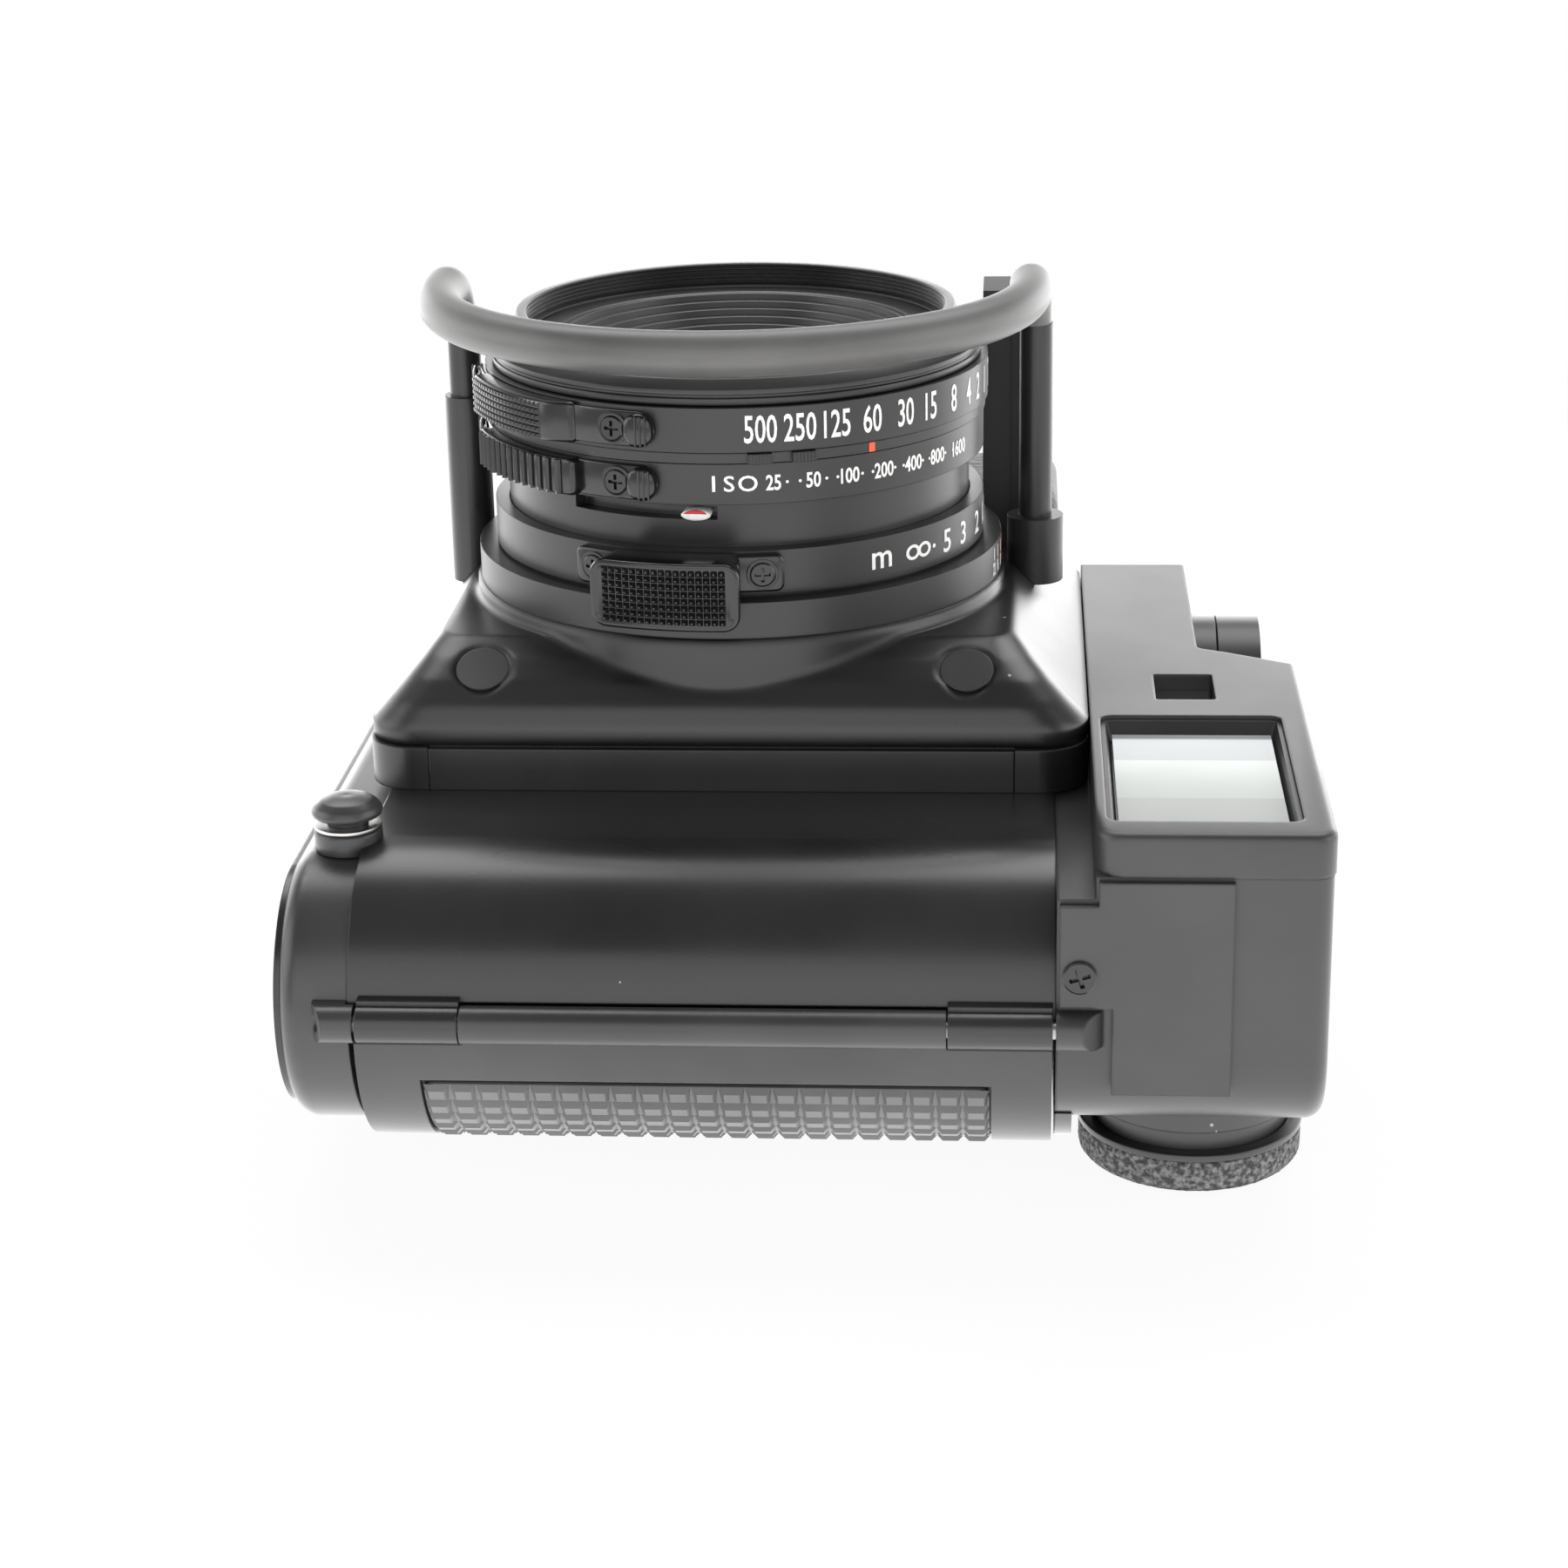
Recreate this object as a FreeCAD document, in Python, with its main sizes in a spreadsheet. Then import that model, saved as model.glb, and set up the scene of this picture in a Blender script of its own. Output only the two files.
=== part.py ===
import FreeCAD, Part
import Sketcher
import math
import os

# Medium format rangefinder camera, 6 x 4.5 cm frames on roll film.
# Frame: +Z up, the lens looks along -Y, +X is the door hinge side (the user's left).
# The origin is the mouth of the tripod socket, in the plane of the lens axis.

os.makedirs("parts", exist_ok=True)
doc = FreeCAD.newDocument("RangefinderCamera")
sheet = doc.addObject("Spreadsheet::Sheet", "Sizes")
nodes = {}
rows = []
X_AXIS = FreeCAD.Vector(1, 0, 0)
Y_AXIS = FreeCAD.Vector(0, 1, 0)
Z_AXIS = FreeCAD.Vector(0, 0, 1)


class Size:
    """A length with the expression that binds it to the sheet and its present value."""

    def __init__(self, text, value):
        self.text = text
        self.value = value

    def __add__(self, other):
        other = as_size(other)
        return Size(f"({self.text} + {other.text})", self.value + other.value)

    def __sub__(self, other):
        other = as_size(other)
        return Size(f"({self.text} - {other.text})", self.value - other.value)

    def __mul__(self, other):
        other = as_size(other)
        return Size(f"({self.text} * {other.text})", self.value * other.value)

    def __truediv__(self, other):
        other = as_size(other)
        return Size(f"({self.text} / {other.text})", self.value / other.value)

    def __neg__(self):
        return Size(f"(0 - {self.text})", -self.value)

    def __radd__(self, other):
        return as_size(other) + self

    def __rsub__(self, other):
        return as_size(other) - self

    def __float__(self):
        return float(self.value)


def as_size(value):
    return value if isinstance(value, Size) else Size(f"({float(value):.6g})", float(value))


def size(name, value):
    """Writes one driving dimension to the sheet and returns it bound to its cell."""
    rows.append(name)
    sheet.set(f"A{len(rows)}", name)
    sheet.set(f"B{len(rows)}", str(value))
    sheet.setAlias(f"B{len(rows)}", name)
    return Size(f"Sizes.{name}", float(value))


def place(thing, base, rotation=None):
    """Sets the Placement, with each coordinate bound to the sheet."""
    values = [as_size(v) for v in base]
    vector = FreeCAD.Vector(*[v.value for v in values])
    thing.Placement = FreeCAD.Placement(vector, rotation or FreeCAD.Rotation())
    for axis, value in zip("xyz", values):
        thing.setExpression(f"Placement.Base.{axis}", value.text)
    return thing


def bind(thing, **values):
    for name, value in values.items():
        thing.setExpression(name, as_size(value).text)
        setattr(thing, name, as_size(value).value)
    return thing


# Shapes along the axes: each span is a pair (low, high).
def box(name, xs, ys, zs):
    thing = doc.addObject("Part::Box", name)
    spans = [(as_size(low), as_size(high)) for low, high in (xs, ys, zs)]
    for prop, (low, high) in zip(("Length", "Width", "Height"), spans):
        bind(thing, **{prop: high - low})
    return place(thing, [low for low, high in spans])


def turn_to(axis):
    if axis == "x":
        return FreeCAD.Rotation(Y_AXIS, 90)
    if axis == "y":
        return FreeCAD.Rotation(X_AXIS, -90)
    return FreeCAD.Rotation()


def start_of(axis, centre, low):
    first, second = centre
    return {"x": (low, first, second), "y": (first, low, second), "z": (first, second, low)}[axis]


def rod(name, axis, radius, centre, span):
    """A cylinder along one axis; centre holds the other two coordinates in X, Y, Z order."""
    low, high = as_size(span[0]), as_size(span[1])
    thing = doc.addObject("Part::Cylinder", name)
    bind(thing, Radius=radius, Height=high - low)
    return place(thing, start_of(axis, centre, low), turn_to(axis))


def cone(name, axis, radii, centre, span):
    low, high = as_size(span[0]), as_size(span[1])
    thing = doc.addObject("Part::Cone", name)
    bind(thing, Radius1=radii[0], Radius2=radii[1], Height=high - low)
    return place(thing, start_of(axis, centre, low), turn_to(axis))


def fuse(name, *things):
    thing = doc.addObject("Part::MultiFuse", name)
    thing.Shapes = list(things)
    return thing


def cut(name, base, *tools):
    thing = doc.addObject("Part::Cut", name)
    thing.Base = base
    thing.Tool = tools[0] if len(tools) == 1 else fuse(name + "Tools", *tools)
    return thing


def common(name, *things):
    thing = doc.addObject("Part::MultiCommon", name)
    thing.Shapes = list(things)
    return thing


def group(name, *things):
    """Separate solids that share one node."""
    thing = doc.addObject("Part::Compound", name)
    thing.Links = list(things)
    return thing


def edges_along(shape, axis, test=None):
    """Numbers of the straight edges parallel to an axis whose middle passes the test."""
    found = []
    for number, edge in enumerate(shape.Edges, 1):
        if edge.Curve.TypeId != "Part::GeomLine":
            continue
        if abs(abs(edge.tangentAt(edge.FirstParameter).dot(axis)) - 1) > 1e-6:
            continue
        middle = edge.valueAt((edge.FirstParameter + edge.LastParameter) / 2)
        if test is None or test(middle):
            found.append(number)
    return found


def rounded(name, base, radius, axis, test=None):
    """Rounds the edges of a Part object that run along an axis."""
    doc.recompute()
    thing = doc.addObject("Part::Fillet", name)
    thing.Base = base
    numbers = edges_along(base.Shape, axis, test)
    thing.Edges = [(number, float(radius), float(radius)) for number in numbers]
    return thing


def chamfered(name, base, length, axis, test=None):
    doc.recompute()
    thing = doc.addObject("Part::Chamfer", name)
    thing.Base = base
    numbers = edges_along(base.Shape, axis, test)
    thing.Edges = [(number, float(length), float(length)) for number in numbers]
    return thing


def outline(body, role, points, offset=None):
    """A closed sketch of straight lines whose corners are bound to the sheet."""
    sketch = body.newObject("Sketcher::SketchObject", body.Name + "Outline")
    plane = [item for item in body.Origin.OriginFeatures if item.Role == role][0]
    sketch.AttachmentSupport = [(plane, "")]
    sketch.MapMode = "FlatFace"
    if offset is not None:
        sketch.AttachmentOffset = FreeCAD.Placement(FreeCAD.Vector(0, 0, offset.value), FreeCAD.Rotation())
        sketch.setExpression("AttachmentOffset.Base.z", offset.text)
    corners = [(as_size(across), as_size(up)) for across, up in points]
    for index, (across, up) in enumerate(corners):
        next_across, next_up = corners[(index + 1) % len(corners)]
        start = FreeCAD.Vector(across.value, up.value, 0)
        end = FreeCAD.Vector(next_across.value, next_up.value, 0)
        sketch.addGeometry(Part.LineSegment(start, end), False)
    for index in range(len(corners)):
        following = (index + 1) % len(corners)
        sketch.addConstraint(Sketcher.Constraint("Coincident", index, 2, following, 1))
    for index, corner in enumerate(corners):
        for kind, value in zip(("DistanceX", "DistanceY"), corner):
            number = sketch.addConstraint(Sketcher.Constraint(kind, -1, 1, index, 1, value.value))
            sketch.setExpression(f"Constraints[{number}]", value.text)
    return sketch


def turned(name, points):
    """A ring about the lens axis from an outline of (radius, y) corners."""
    body = doc.addObject("PartDesign::Body", name)
    sketch = outline(body, "XY_Plane", points)
    turn = body.newObject("PartDesign::Revolution", name + "Turn")
    turn.Profile = sketch
    turn.ReferenceAxis = (sketch, ["V_Axis"])
    turn.Angle = 360
    return place(body, (0, 0, lens_height))


def upright(name, points, zs):
    """A plan outline of (x, y) corners padded upwards."""
    body = doc.addObject("PartDesign::Body", name)
    low, high = as_size(zs[0]), as_size(zs[1])
    pad = body.newObject("PartDesign::Pad", name + "Pad")
    pad.Profile = outline(body, "XY_Plane", points, low)
    bind(pad, Length=high - low)
    body.Tip = pad
    return body


def fronted(name, points, ys):
    """A front view outline of (x, z) corners padded along Y."""
    body = doc.addObject("PartDesign::Body", name)
    low, high = as_size(ys[0]), as_size(ys[1])
    pad = body.newObject("PartDesign::Pad", name + "Pad")
    pad.Profile = outline(body, "XZ_Plane", points, -high)
    bind(pad, Length=high - low)
    body.Tip = pad
    return body


def sided(name, points, xs):
    """A side view outline of (y, z) corners padded along X."""
    body = doc.addObject("PartDesign::Body", name)
    low, high = as_size(xs[0]), as_size(xs[1])
    pad = body.newObject("PartDesign::Pad", name + "Pad")
    pad.Profile = outline(body, "YZ_Plane", points, low)
    bind(pad, Length=high - low)
    body.Tip = pad
    return body


def soften(body, radius, axis, test=None):
    """Rounds edges of a body's last feature, with the radius bound to the sheet."""
    doc.recompute()
    numbers = edges_along(body.Shape, axis, test)
    previous = body.Tip
    feature = body.newObject("PartDesign::Fillet", body.Name + "Round" + str(len(body.Group)))
    feature.Base = (previous, [f"Edge{number}" for number in numbers])
    bind(feature, Radius=radius)
    body.Tip = feature
    return body


def soften_rims(body, radius, levels):
    """Rounds the front edges of a body's top and bottom faces."""
    doc.recompute()
    found = []
    for number, edge in enumerate(body.Shape.Edges, 1):
        bounds = edge.BoundBox
        level = any(
            abs(bounds.ZMin - float(z)) < 1e-4 and abs(bounds.ZMax - float(z)) < 1e-4 for z in levels
        )
        ahead = bounds.YMin < float(body_front) - 1e-3
        outside = bounds.XMin < float(-chamber_x - chamber_radius) - 3
        if level and (ahead or outside):
            found.append(f"Edge{number}")
    previous = body.Tip
    feature = body.newObject("PartDesign::Fillet", body.Name + "Rims")
    feature.Base = (previous, found)
    bind(feature, Radius=radius)
    body.Tip = feature
    return body


def node(label, thing):
    thing.Label = label
    nodes[label] = thing
    return thing


def screw_head(name, axis, centre, seat, outward):
    """A countersunk cross-head screw whose head stands a little proud of its seat."""
    low, high = (seat, seat + screw_rise) if outward > 0 else (seat - screw_rise, seat)
    head = rod(name + "Head", axis, screw_radius, centre, (low, high))
    slots = []
    for turn, (first, second) in enumerate(((1, 0), (0, 1))):
        half_one = screw_radius * 0.6 * first + cross_width / 2 * second
        half_two = screw_radius * 0.6 * second + cross_width / 2 * first
        depth_low = high - cross_depth if outward > 0 else low
        depth_high = high if outward > 0 else low + cross_depth
        spans = {
            "x": ((depth_low, depth_high), centre[0], centre[1]),
            "y": (centre[0], (depth_low, depth_high), centre[1]),
            "z": (centre[0], centre[1], (depth_low, depth_high)),
        }[axis]
        halves = [half_one, half_two]
        full = []
        for span in spans:
            if isinstance(span, tuple):
                full.append(span)
            else:
                half = halves.pop(0)
                full.append((as_size(span) - half, as_size(span) + half))
        slots.append(box(f"{name}Slot{turn}", *full))
    return cut(name, head, *slots)


# Fits and clearances
running = size("running_clearance", 0.06)
ring_gap = size("ring_gap", 0.12)
seat_gap = size("seat_gap", 0.02)
free_gap = size("free_gap", 0.35)
panel_gap = size("panel_gap", 0.1)
# Gap between parts that move past each other
part_gap = size("part_gap", 0.3)
# Gap between parts that turn against each other's faces
slip_gap = size("slip_gap", 0.25)
# Radial room of a bore that goes round a turned part
bore_gap = size("bore_gap", 0.15)
# Small steps and ledges of turned and moulded parts
small_step = size("small_step", 0.2)
ledge = size("ledge", 0.4)
half_step = size("half_step", 0.5)
deep_step = size("deep_step", 0.6)

# Front rim of the lens
rim_y = size("lens_rim_y", -62)

# Body in plan: two round film chambers joined by a straight middle
chamber_x = size("chamber_axis_x", 49.5)
chamber_y = size("chamber_axis_y", 2.7)
chamber_radius = size("chamber_outer_radius", 16.5)
body_wall = size("body_wall", 2.3)
casting_bottom = size("casting_bottom", 8.2)
casting_height = size("casting_height", 74.6)
split_y = size("door_split_y", 0.3)
body_front = chamber_y - chamber_radius
body_rear = chamber_y + chamber_radius
casting_top = casting_bottom + casting_height
lens_height = casting_bottom + casting_height / 2
beyond = size("cutting_reach", 80)
inner_radius = chamber_radius - body_wall

# Film gate
gate_width = size("gate_width", 41.5)
gate_height = size("gate_height", 56)
gate_y = size("gate_y", 9.6)
gate_plate = size("gate_plate_thickness", 1.8)
gate_plate_half_width = size("gate_plate_half_width", 31)
rail_height = size("rail_height", 0.7)
rail_width = size("rail_width", 1.6)
tunnel_wall = size("tunnel_wall", 1.8)

# Screws
screw_radius = size("screw_head_radius", 1.8)
screw_rise = size("screw_rise", 0.45)
cross_width = size("screw_cross_width", 0.45)
cross_depth = size("screw_cross_depth", 0.3)
small_screw = size("tab_screw_radius", 1.35)

# Body casting: front halves of the chambers, front wall, light tunnel and gate plate
near_outer = rod("NearChamber", "z", chamber_radius, (chamber_x, chamber_y), (casting_bottom, casting_top))
far_outer = rod("FarChamber", "z", chamber_radius, (-chamber_x, chamber_y), (casting_bottom, casting_top))
middle = box("CastingMiddle", (-chamber_x, chamber_x), (body_front, split_y), (casting_bottom, casting_top))
rear_space = box(
    "CastingRearSpace",
    (-chamber_x - chamber_radius - 1, chamber_x + chamber_radius + 1),
    (split_y, body_rear + 1),
    (casting_bottom, casting_top),
)
near_hollow = rod("NearHollow", "z", inner_radius, (chamber_x, chamber_y), (casting_bottom, casting_top))
far_hollow = rod("FarHollow", "z", inner_radius, (-chamber_x, chamber_y), (casting_bottom, casting_top))
middle_hollow = box(
    "MiddleHollow", (-chamber_x, chamber_x), (body_front + body_wall, body_rear),
    (casting_bottom, casting_top)
)
front_shell = cut(
    "FrontShell", fuse("CastingOuter", near_outer, far_outer, middle), rear_space, near_hollow,
    far_hollow, middle_hollow
)
gate_low = lens_height - gate_height / 2
gate_high = lens_height + gate_height / 2
tunnel = box(
    "TunnelWalls",
    (-gate_width / 2 - tunnel_wall, gate_width / 2 + tunnel_wall),
    (body_front, gate_y),
    (gate_low - tunnel_wall, gate_high + tunnel_wall),
)
plate = box(
    "GatePlate", (-gate_plate_half_width, gate_plate_half_width), (gate_y - gate_plate, gate_y),
    (casting_bottom, casting_top)
)
rails = []
for side, edge in (("Low", gate_low - tunnel_wall), ("High", gate_high + tunnel_wall - rail_width)):
    rails.append(
        box(
            side + "Rail",
            (-gate_plate_half_width, gate_plate_half_width),
            (gate_y, gate_y + rail_height),
            (edge, edge + rail_width),
        )
    )
gate_hole = box(
    "GateHole", (-gate_width / 2, gate_width / 2), (body_front - 1, gate_y + rail_height),
    (gate_low, gate_high)
)

# Hinge on the near side, its axis upright
hinge_x = size("hinge_x", 66.9)
hinge_y = size("hinge_y", 0.8)
hinge_radius = size("hinge_radius", 2.05)
hinge_pin_radius = size("hinge_pin_radius", 0.9)
lug_length = size("hinge_lug_length", 4.9)
lug_overlap = size("hinge_lug_overlap", 1)
lug_slant = size("hinge_lug_slant", 2.3)
end_knuckle = size("end_knuckle_length", 11)
knuckle_gap = size("knuckle_gap", 0.15)
barrel_low = casting_bottom + lug_overlap + part_gap
barrel_high = casting_top - free_gap
door_knuckle_low = barrel_low + end_knuckle
door_knuckle_high = barrel_high - end_knuckle


def hinge_knuckle(name, zs, web_y):
    """A barrel with a web that joins it to its leaf."""
    barrel = rod(name + "Barrel", "z", hinge_radius, (hinge_x, hinge_y), zs)
    web_x = chamber_x + chamber_radius - body_wall
    web = box(name + "Web", (web_x, hinge_x), (web_y, split_y), zs)
    return fuse(name, barrel, web)


pin_hole = rod("PinHole", "z", hinge_pin_radius + running, (hinge_x, hinge_y), (0, casting_top + 20))
door_sweep = rod(
    "DoorSweep", "z", hinge_radius + free_gap, (hinge_x, hinge_y), (
        door_knuckle_low - knuckle_gap, door_knuckle_high + knuckle_gap
    )
)
body_knuckles = [
    hinge_knuckle("LowKnuckle", (barrel_low, door_knuckle_low - knuckle_gap), split_y - hinge_radius),
    hinge_knuckle("HighKnuckle", (door_knuckle_high + knuckle_gap, barrel_high), split_y - hinge_radius),
]

# Guide rollers beside the gate, in ears of the casting
roller_x = size("roller_x", 33.6)
roller_y = size("roller_y", 7.4)
roller_radius = size("roller_radius", 2.2)
journal_radius = size("roller_journal_radius", 0.9)
ear_thickness = size("roller_ear_thickness", 1.5)
ear_offset = size("roller_ear_offset", 3)
ears = []
holes = []
for side in (1, -1):
    at = roller_x * side
    for level, low in (
        ("Low", casting_bottom + ear_offset), ("High", casting_top - ear_offset - ear_thickness)
    ):
        label = f"Ear{level}{'Near' if side > 0 else 'Far'}"
        inner = gate_plate_half_width * side
        outer = at + roller_radius * 0.8 * side
        xs = (inner, outer) if side > 0 else (outer, inner)
        ears.append(box(label, xs, (gate_y - gate_plate - 2.4, gate_y), (low, low + ear_thickness)))
    holes.append(
        rod(
            f"JournalHole{side}", "z", journal_radius + running, (at, roller_y),
            (casting_bottom, casting_top),
        )
    )
tunnel_block = cut("TunnelBlock", fuse("TunnelFull", tunnel, plate, *rails, *ears), gate_hole, *holes)
front_opening = box(
    "FrontOpening", (-gate_width / 2, gate_width / 2),
    (body_front - 1, body_front + body_wall + 1), (gate_low, gate_high)
)
lug_sweep = rod("LugSweep", "z", hinge_radius + panel_gap, (hinge_x, hinge_y), (0, barrel_low))
open_shell = cut("OpenShell", front_shell, front_opening, door_sweep, lug_sweep)
node(
    "body_casting",
    cut("BodyCasting", fuse("CastingWhole", open_shell, tunnel_block, *body_knuckles), pin_hole),
)

for side, label in ((1, "supply_roller"), (-1, "takeup_roller")):
    at = roller_x * side
    low = casting_bottom + ear_offset
    high = casting_top - ear_offset
    drum = rod(
        f"{label}Drum", "z", roller_radius, (at, roller_y),
        (low + ear_thickness + ring_gap, high - ear_thickness - ring_gap),
    )
    journal = rod(f"{label}Journal", "z", journal_radius, (at, roller_y), (low, high))
    node(label, fuse(label + "Whole", drum, journal))

# Base section: rounded block with the battery well, the socket bush and the spool knob
base_plate_thickness = size("base_plate_thickness", 1.2)
base_inset = size("base_plate_inset", 1.6)
base_front_radius = size("base_end_radius", 15)
base_round = size("base_edge_round", 2.4)
base_y = size("base_axis_y", 2.5)
base_end_x = size("base_end_x", 50.9)


def stadium(name, radius, centre_x, centre_y, zs):
    near = rod(name + "Near", "z", radius, (centre_x, centre_y), zs)
    far = rod(name + "Far", "z", radius, (-centre_x, centre_y), zs)
    straight = box(name + "Straight", (-centre_x, centre_x), (centre_y - radius, centre_y + radius), zs)
    return fuse(name, near, far, straight)


def rounded_rim(name, base, radius, level):
    """Rounds the rim of a plan outline at one level."""
    doc.recompute()
    numbers = []
    for number, edge in enumerate(base.Shape.Edges, 1):
        bounds = edge.BoundBox
        if abs(bounds.ZMin - level) < 1e-4 and abs(bounds.ZMax - level) < 1e-4:
            numbers.append(number)
    thing = doc.addObject("Part::Fillet", name)
    thing.Base = base
    thing.Edges = [(number, float(radius), float(radius)) for number in numbers]
    return thing


base_outer = stadium(
    "BaseOuter", base_front_radius, base_end_x, base_y, (base_plate_thickness * 0.4, casting_bottom)
)
base_clean = doc.addObject("Part::Refine", "BaseClean")
base_clean.Source = base_outer
base_body = rounded_rim("BaseBody", base_clean, base_round, float(base_plate_thickness) * 0.4)
plate_outer_radius = base_front_radius - base_inset
plate_space = stadium(
    "PlateSpace", plate_outer_radius + panel_gap, base_end_x, base_y, (0, base_plate_thickness + seat_gap)
)
bush_radius = size("socket_bush_radius", 6.5)
bush_height = size("socket_bush_height", 6.8)
socket_radius = size("socket_thread_radius", 3.175)
socket_depth = size("socket_depth", 5.2)
bush_hole = rod("BushHole", "z", bush_radius + seat_gap, (0, 0), (0, bush_height))
battery_x = size("battery_x", 26)
battery_radius = size("battery_radius", 5.8)
battery_thickness = size("battery_thickness", 5.4)
cover_radius = size("battery_cover_radius", 8.2)
cover_thickness = size("battery_cover_thickness", 1)
well_wall = size("battery_well_roof", 0.8)
battery_well = rod(
    "BatteryWell", "z", battery_radius + panel_gap, (battery_x, base_y), (0, casting_bottom - well_wall)
)
cover_hole = rod(
    "CoverHole", "z", cover_radius + panel_gap, (battery_x, base_y), (0, base_plate_thickness + ledge)
)
knob_radius = size("spool_knob_radius", 7.5)
knob_thickness = size("spool_knob_thickness", 2.6)
knob_recess = size("spool_knob_recess", 0.3)
knob_pin_radius = size("spool_pin_radius", 2.4)
knob_tip_radius = size("spool_tip_radius", 1.9)
knob_hole = rod(
    "KnobHole", "z", knob_radius + free_gap, (chamber_x, chamber_y),
    (0, knob_recess + knob_thickness + free_gap),
)
pin_way = rod("PinWay", "z", knob_pin_radius + running, (chamber_x, chamber_y), (0, casting_bottom))

# Hinge lugs stand on the base section and the top chassis
lug_low_start = casting_bottom - lug_length + 1.3


def hinge_lug(name, zs, web_zs, slant):
    """A lug on the hinge axis, its outer end cut to a slant."""
    barrel = rod(name + "Barrel", "z", hinge_radius, (hinge_x, hinge_y), zs)
    web = box(
        name + "Web", (chamber_x + 4, hinge_x),
        (hinge_y - hinge_radius, hinge_y + hinge_radius * 0.8), web_zs
    )
    root_x = hinge_x - hinge_radius * 0.3
    tip_x = hinge_x + hinge_radius + panel_gap
    end, away = (zs[1], zs[1] + 1) if slant > 0 else (zs[0], zs[0] - 1)
    slope = end - lug_slant if slant > 0 else end + lug_slant * 0.6
    wedge = fronted(
        name + "Slant", [(root_x, end), (tip_x, slope), (tip_x, away), (root_x, away)],
        (hinge_y - hinge_radius - 1, hinge_y + hinge_radius + 1),
    )
    return cut(name, fuse(name + "Whole", barrel, web), wedge)


low_lug = hinge_lug(
    "LowLug", (lug_low_start, casting_bottom + lug_overlap), (lug_low_start, casting_bottom), -1
)
lug_seat_y = base_y - base_front_radius
lug_shank_depth = size("lug_shank_depth", 2)
lug_height = size("strap_lug_height", 6.2)
lug_shank_radius = size("lug_shank_radius", 2.2)
lug_shank_hole = rod(
    "LugShankHole", "y", lug_shank_radius + seat_gap, (chamber_x, lug_height),
    (lug_seat_y - 1, lug_seat_y + lug_shank_depth),
)
base_cut = cut(
    "BaseSection", fuse("BaseFull", base_body, low_lug), plate_space, bush_hole, battery_well, cover_hole,
    knob_hole, pin_way, pin_hole, lug_shank_hole,
)
plate_body = stadium("PlateBody", plate_outer_radius, base_end_x, base_y, (0, base_plate_thickness))
foot_screws = []
screw_holes = []
for index, (at_x, at_y) in enumerate(((-44, 9), (-22, -7), (12, 9), (44, -7))):
    foot_screws.append(
        screw_head(
            f"BaseScrew{index}", "z", (as_size(at_x), base_y + at_y - 1), base_plate_thickness - 0.5, -1
        )
    )
    screw_holes.append(
        rod(
            f"BaseScrewHole{index}", "z", screw_radius + panel_gap, (as_size(at_x), base_y + at_y - 1),
            (0, base_plate_thickness - half_step),
        )
    )
node(
    "base_plate",
    cut(
        "BasePlate", plate_body, rod(
            "PlateBushHole", "z", bush_radius + seat_gap, (0, 0), (0, base_plate_thickness)
        ),
        rod(
            "PlateCoverHole", "z", cover_radius + panel_gap, (battery_x, base_y),
            (0, base_plate_thickness)
        ),
        rod(
            "PlateKnobHole", "z", knob_radius + free_gap, (chamber_x, chamber_y),
            (0, base_plate_thickness)
        ),
        *screw_holes,
    ),
)
bush_flange = rod("BushFlange", "z", bush_radius, (0, 0), (0, bush_height))
node(
    "tripod_bush",
    cut("TripodBush", bush_flange, rod("SocketBore", "z", socket_radius, (0, 0), (0, socket_depth))),
)
coin_slot = box(
    "CoinSlot", (battery_x - 6, battery_x + 6), (base_y - 0.8, base_y + 0.8), (0, cover_thickness * 0.6)
)
node(
    "battery_cover",
    cut(
        "BatteryCover",
        rod("CoverDisc", "z", cover_radius, (battery_x, base_y), (0.15, cover_thickness + bore_gap)),
        coin_slot,
    ),
)
node(
    "battery_cell",
    rod(
        "BatteryCell", "z", battery_radius, (battery_x, base_y),
        (cover_thickness + slip_gap, cover_thickness + slip_gap + battery_thickness),
    ),
)

# Pull-out spool knob under the supply chamber
spool_low = casting_bottom + size("spool_rise", 6.1)
spool_length = casting_height - 12.3
knob_low = knob_recess
knob_disc = rod("KnobDisc", "z", knob_radius, (chamber_x, chamber_y), (knob_low, knob_low + knob_thickness))
knob_stem = rod(
    "KnobStem", "z", knob_pin_radius, (chamber_x, chamber_y),
    (knob_low + knob_thickness, spool_low - deep_step)
)
knob_tip = rod(
    "KnobTip", "z", knob_tip_radius, (chamber_x, chamber_y), (spool_low - deep_step, spool_low + 3.4)
)
knob_slot = box(
    "KnobSlot", (chamber_x - knob_radius, chamber_x + knob_radius),
    (chamber_y - 0.9, chamber_y + 0.9), (knob_low, knob_low + 1)
)
node("supply_spool_knob", cut("SupplyKnob", fuse("KnobWhole", knob_disc, knob_stem, knob_tip), knob_slot))

# Take-up spool on its fixed lower pin and the drive key above
flange_radius = size("spool_flange_radius", 12.6)
flange_thickness = size("spool_flange_thickness", 1)
core_radius = size("spool_core_radius", 5.5)
spool_bore = size("spool_bore_radius", 2.6)
spool_top = spool_low + spool_length
spool_blank = fuse(
    "SpoolBlank",
    rod(
        "SpoolFlangeLow", "z", flange_radius, (-chamber_x, chamber_y),
        (spool_low, spool_low + flange_thickness),
    ),
    rod(
        "SpoolFlangeHigh", "z", flange_radius, (-chamber_x, chamber_y),
        (spool_top - flange_thickness, spool_top),
    ),
    rod("SpoolCore", "z", core_radius, (-chamber_x, chamber_y), (spool_low, spool_top)),
)
film_slot = box(
    "FilmSlot", (-chamber_x - core_radius, -chamber_x + core_radius),
    (chamber_y - deep_step, chamber_y + deep_step),
    (spool_low + 14, spool_top - 14),
)
key_width = size("drive_key_width", 1.6)
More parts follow.
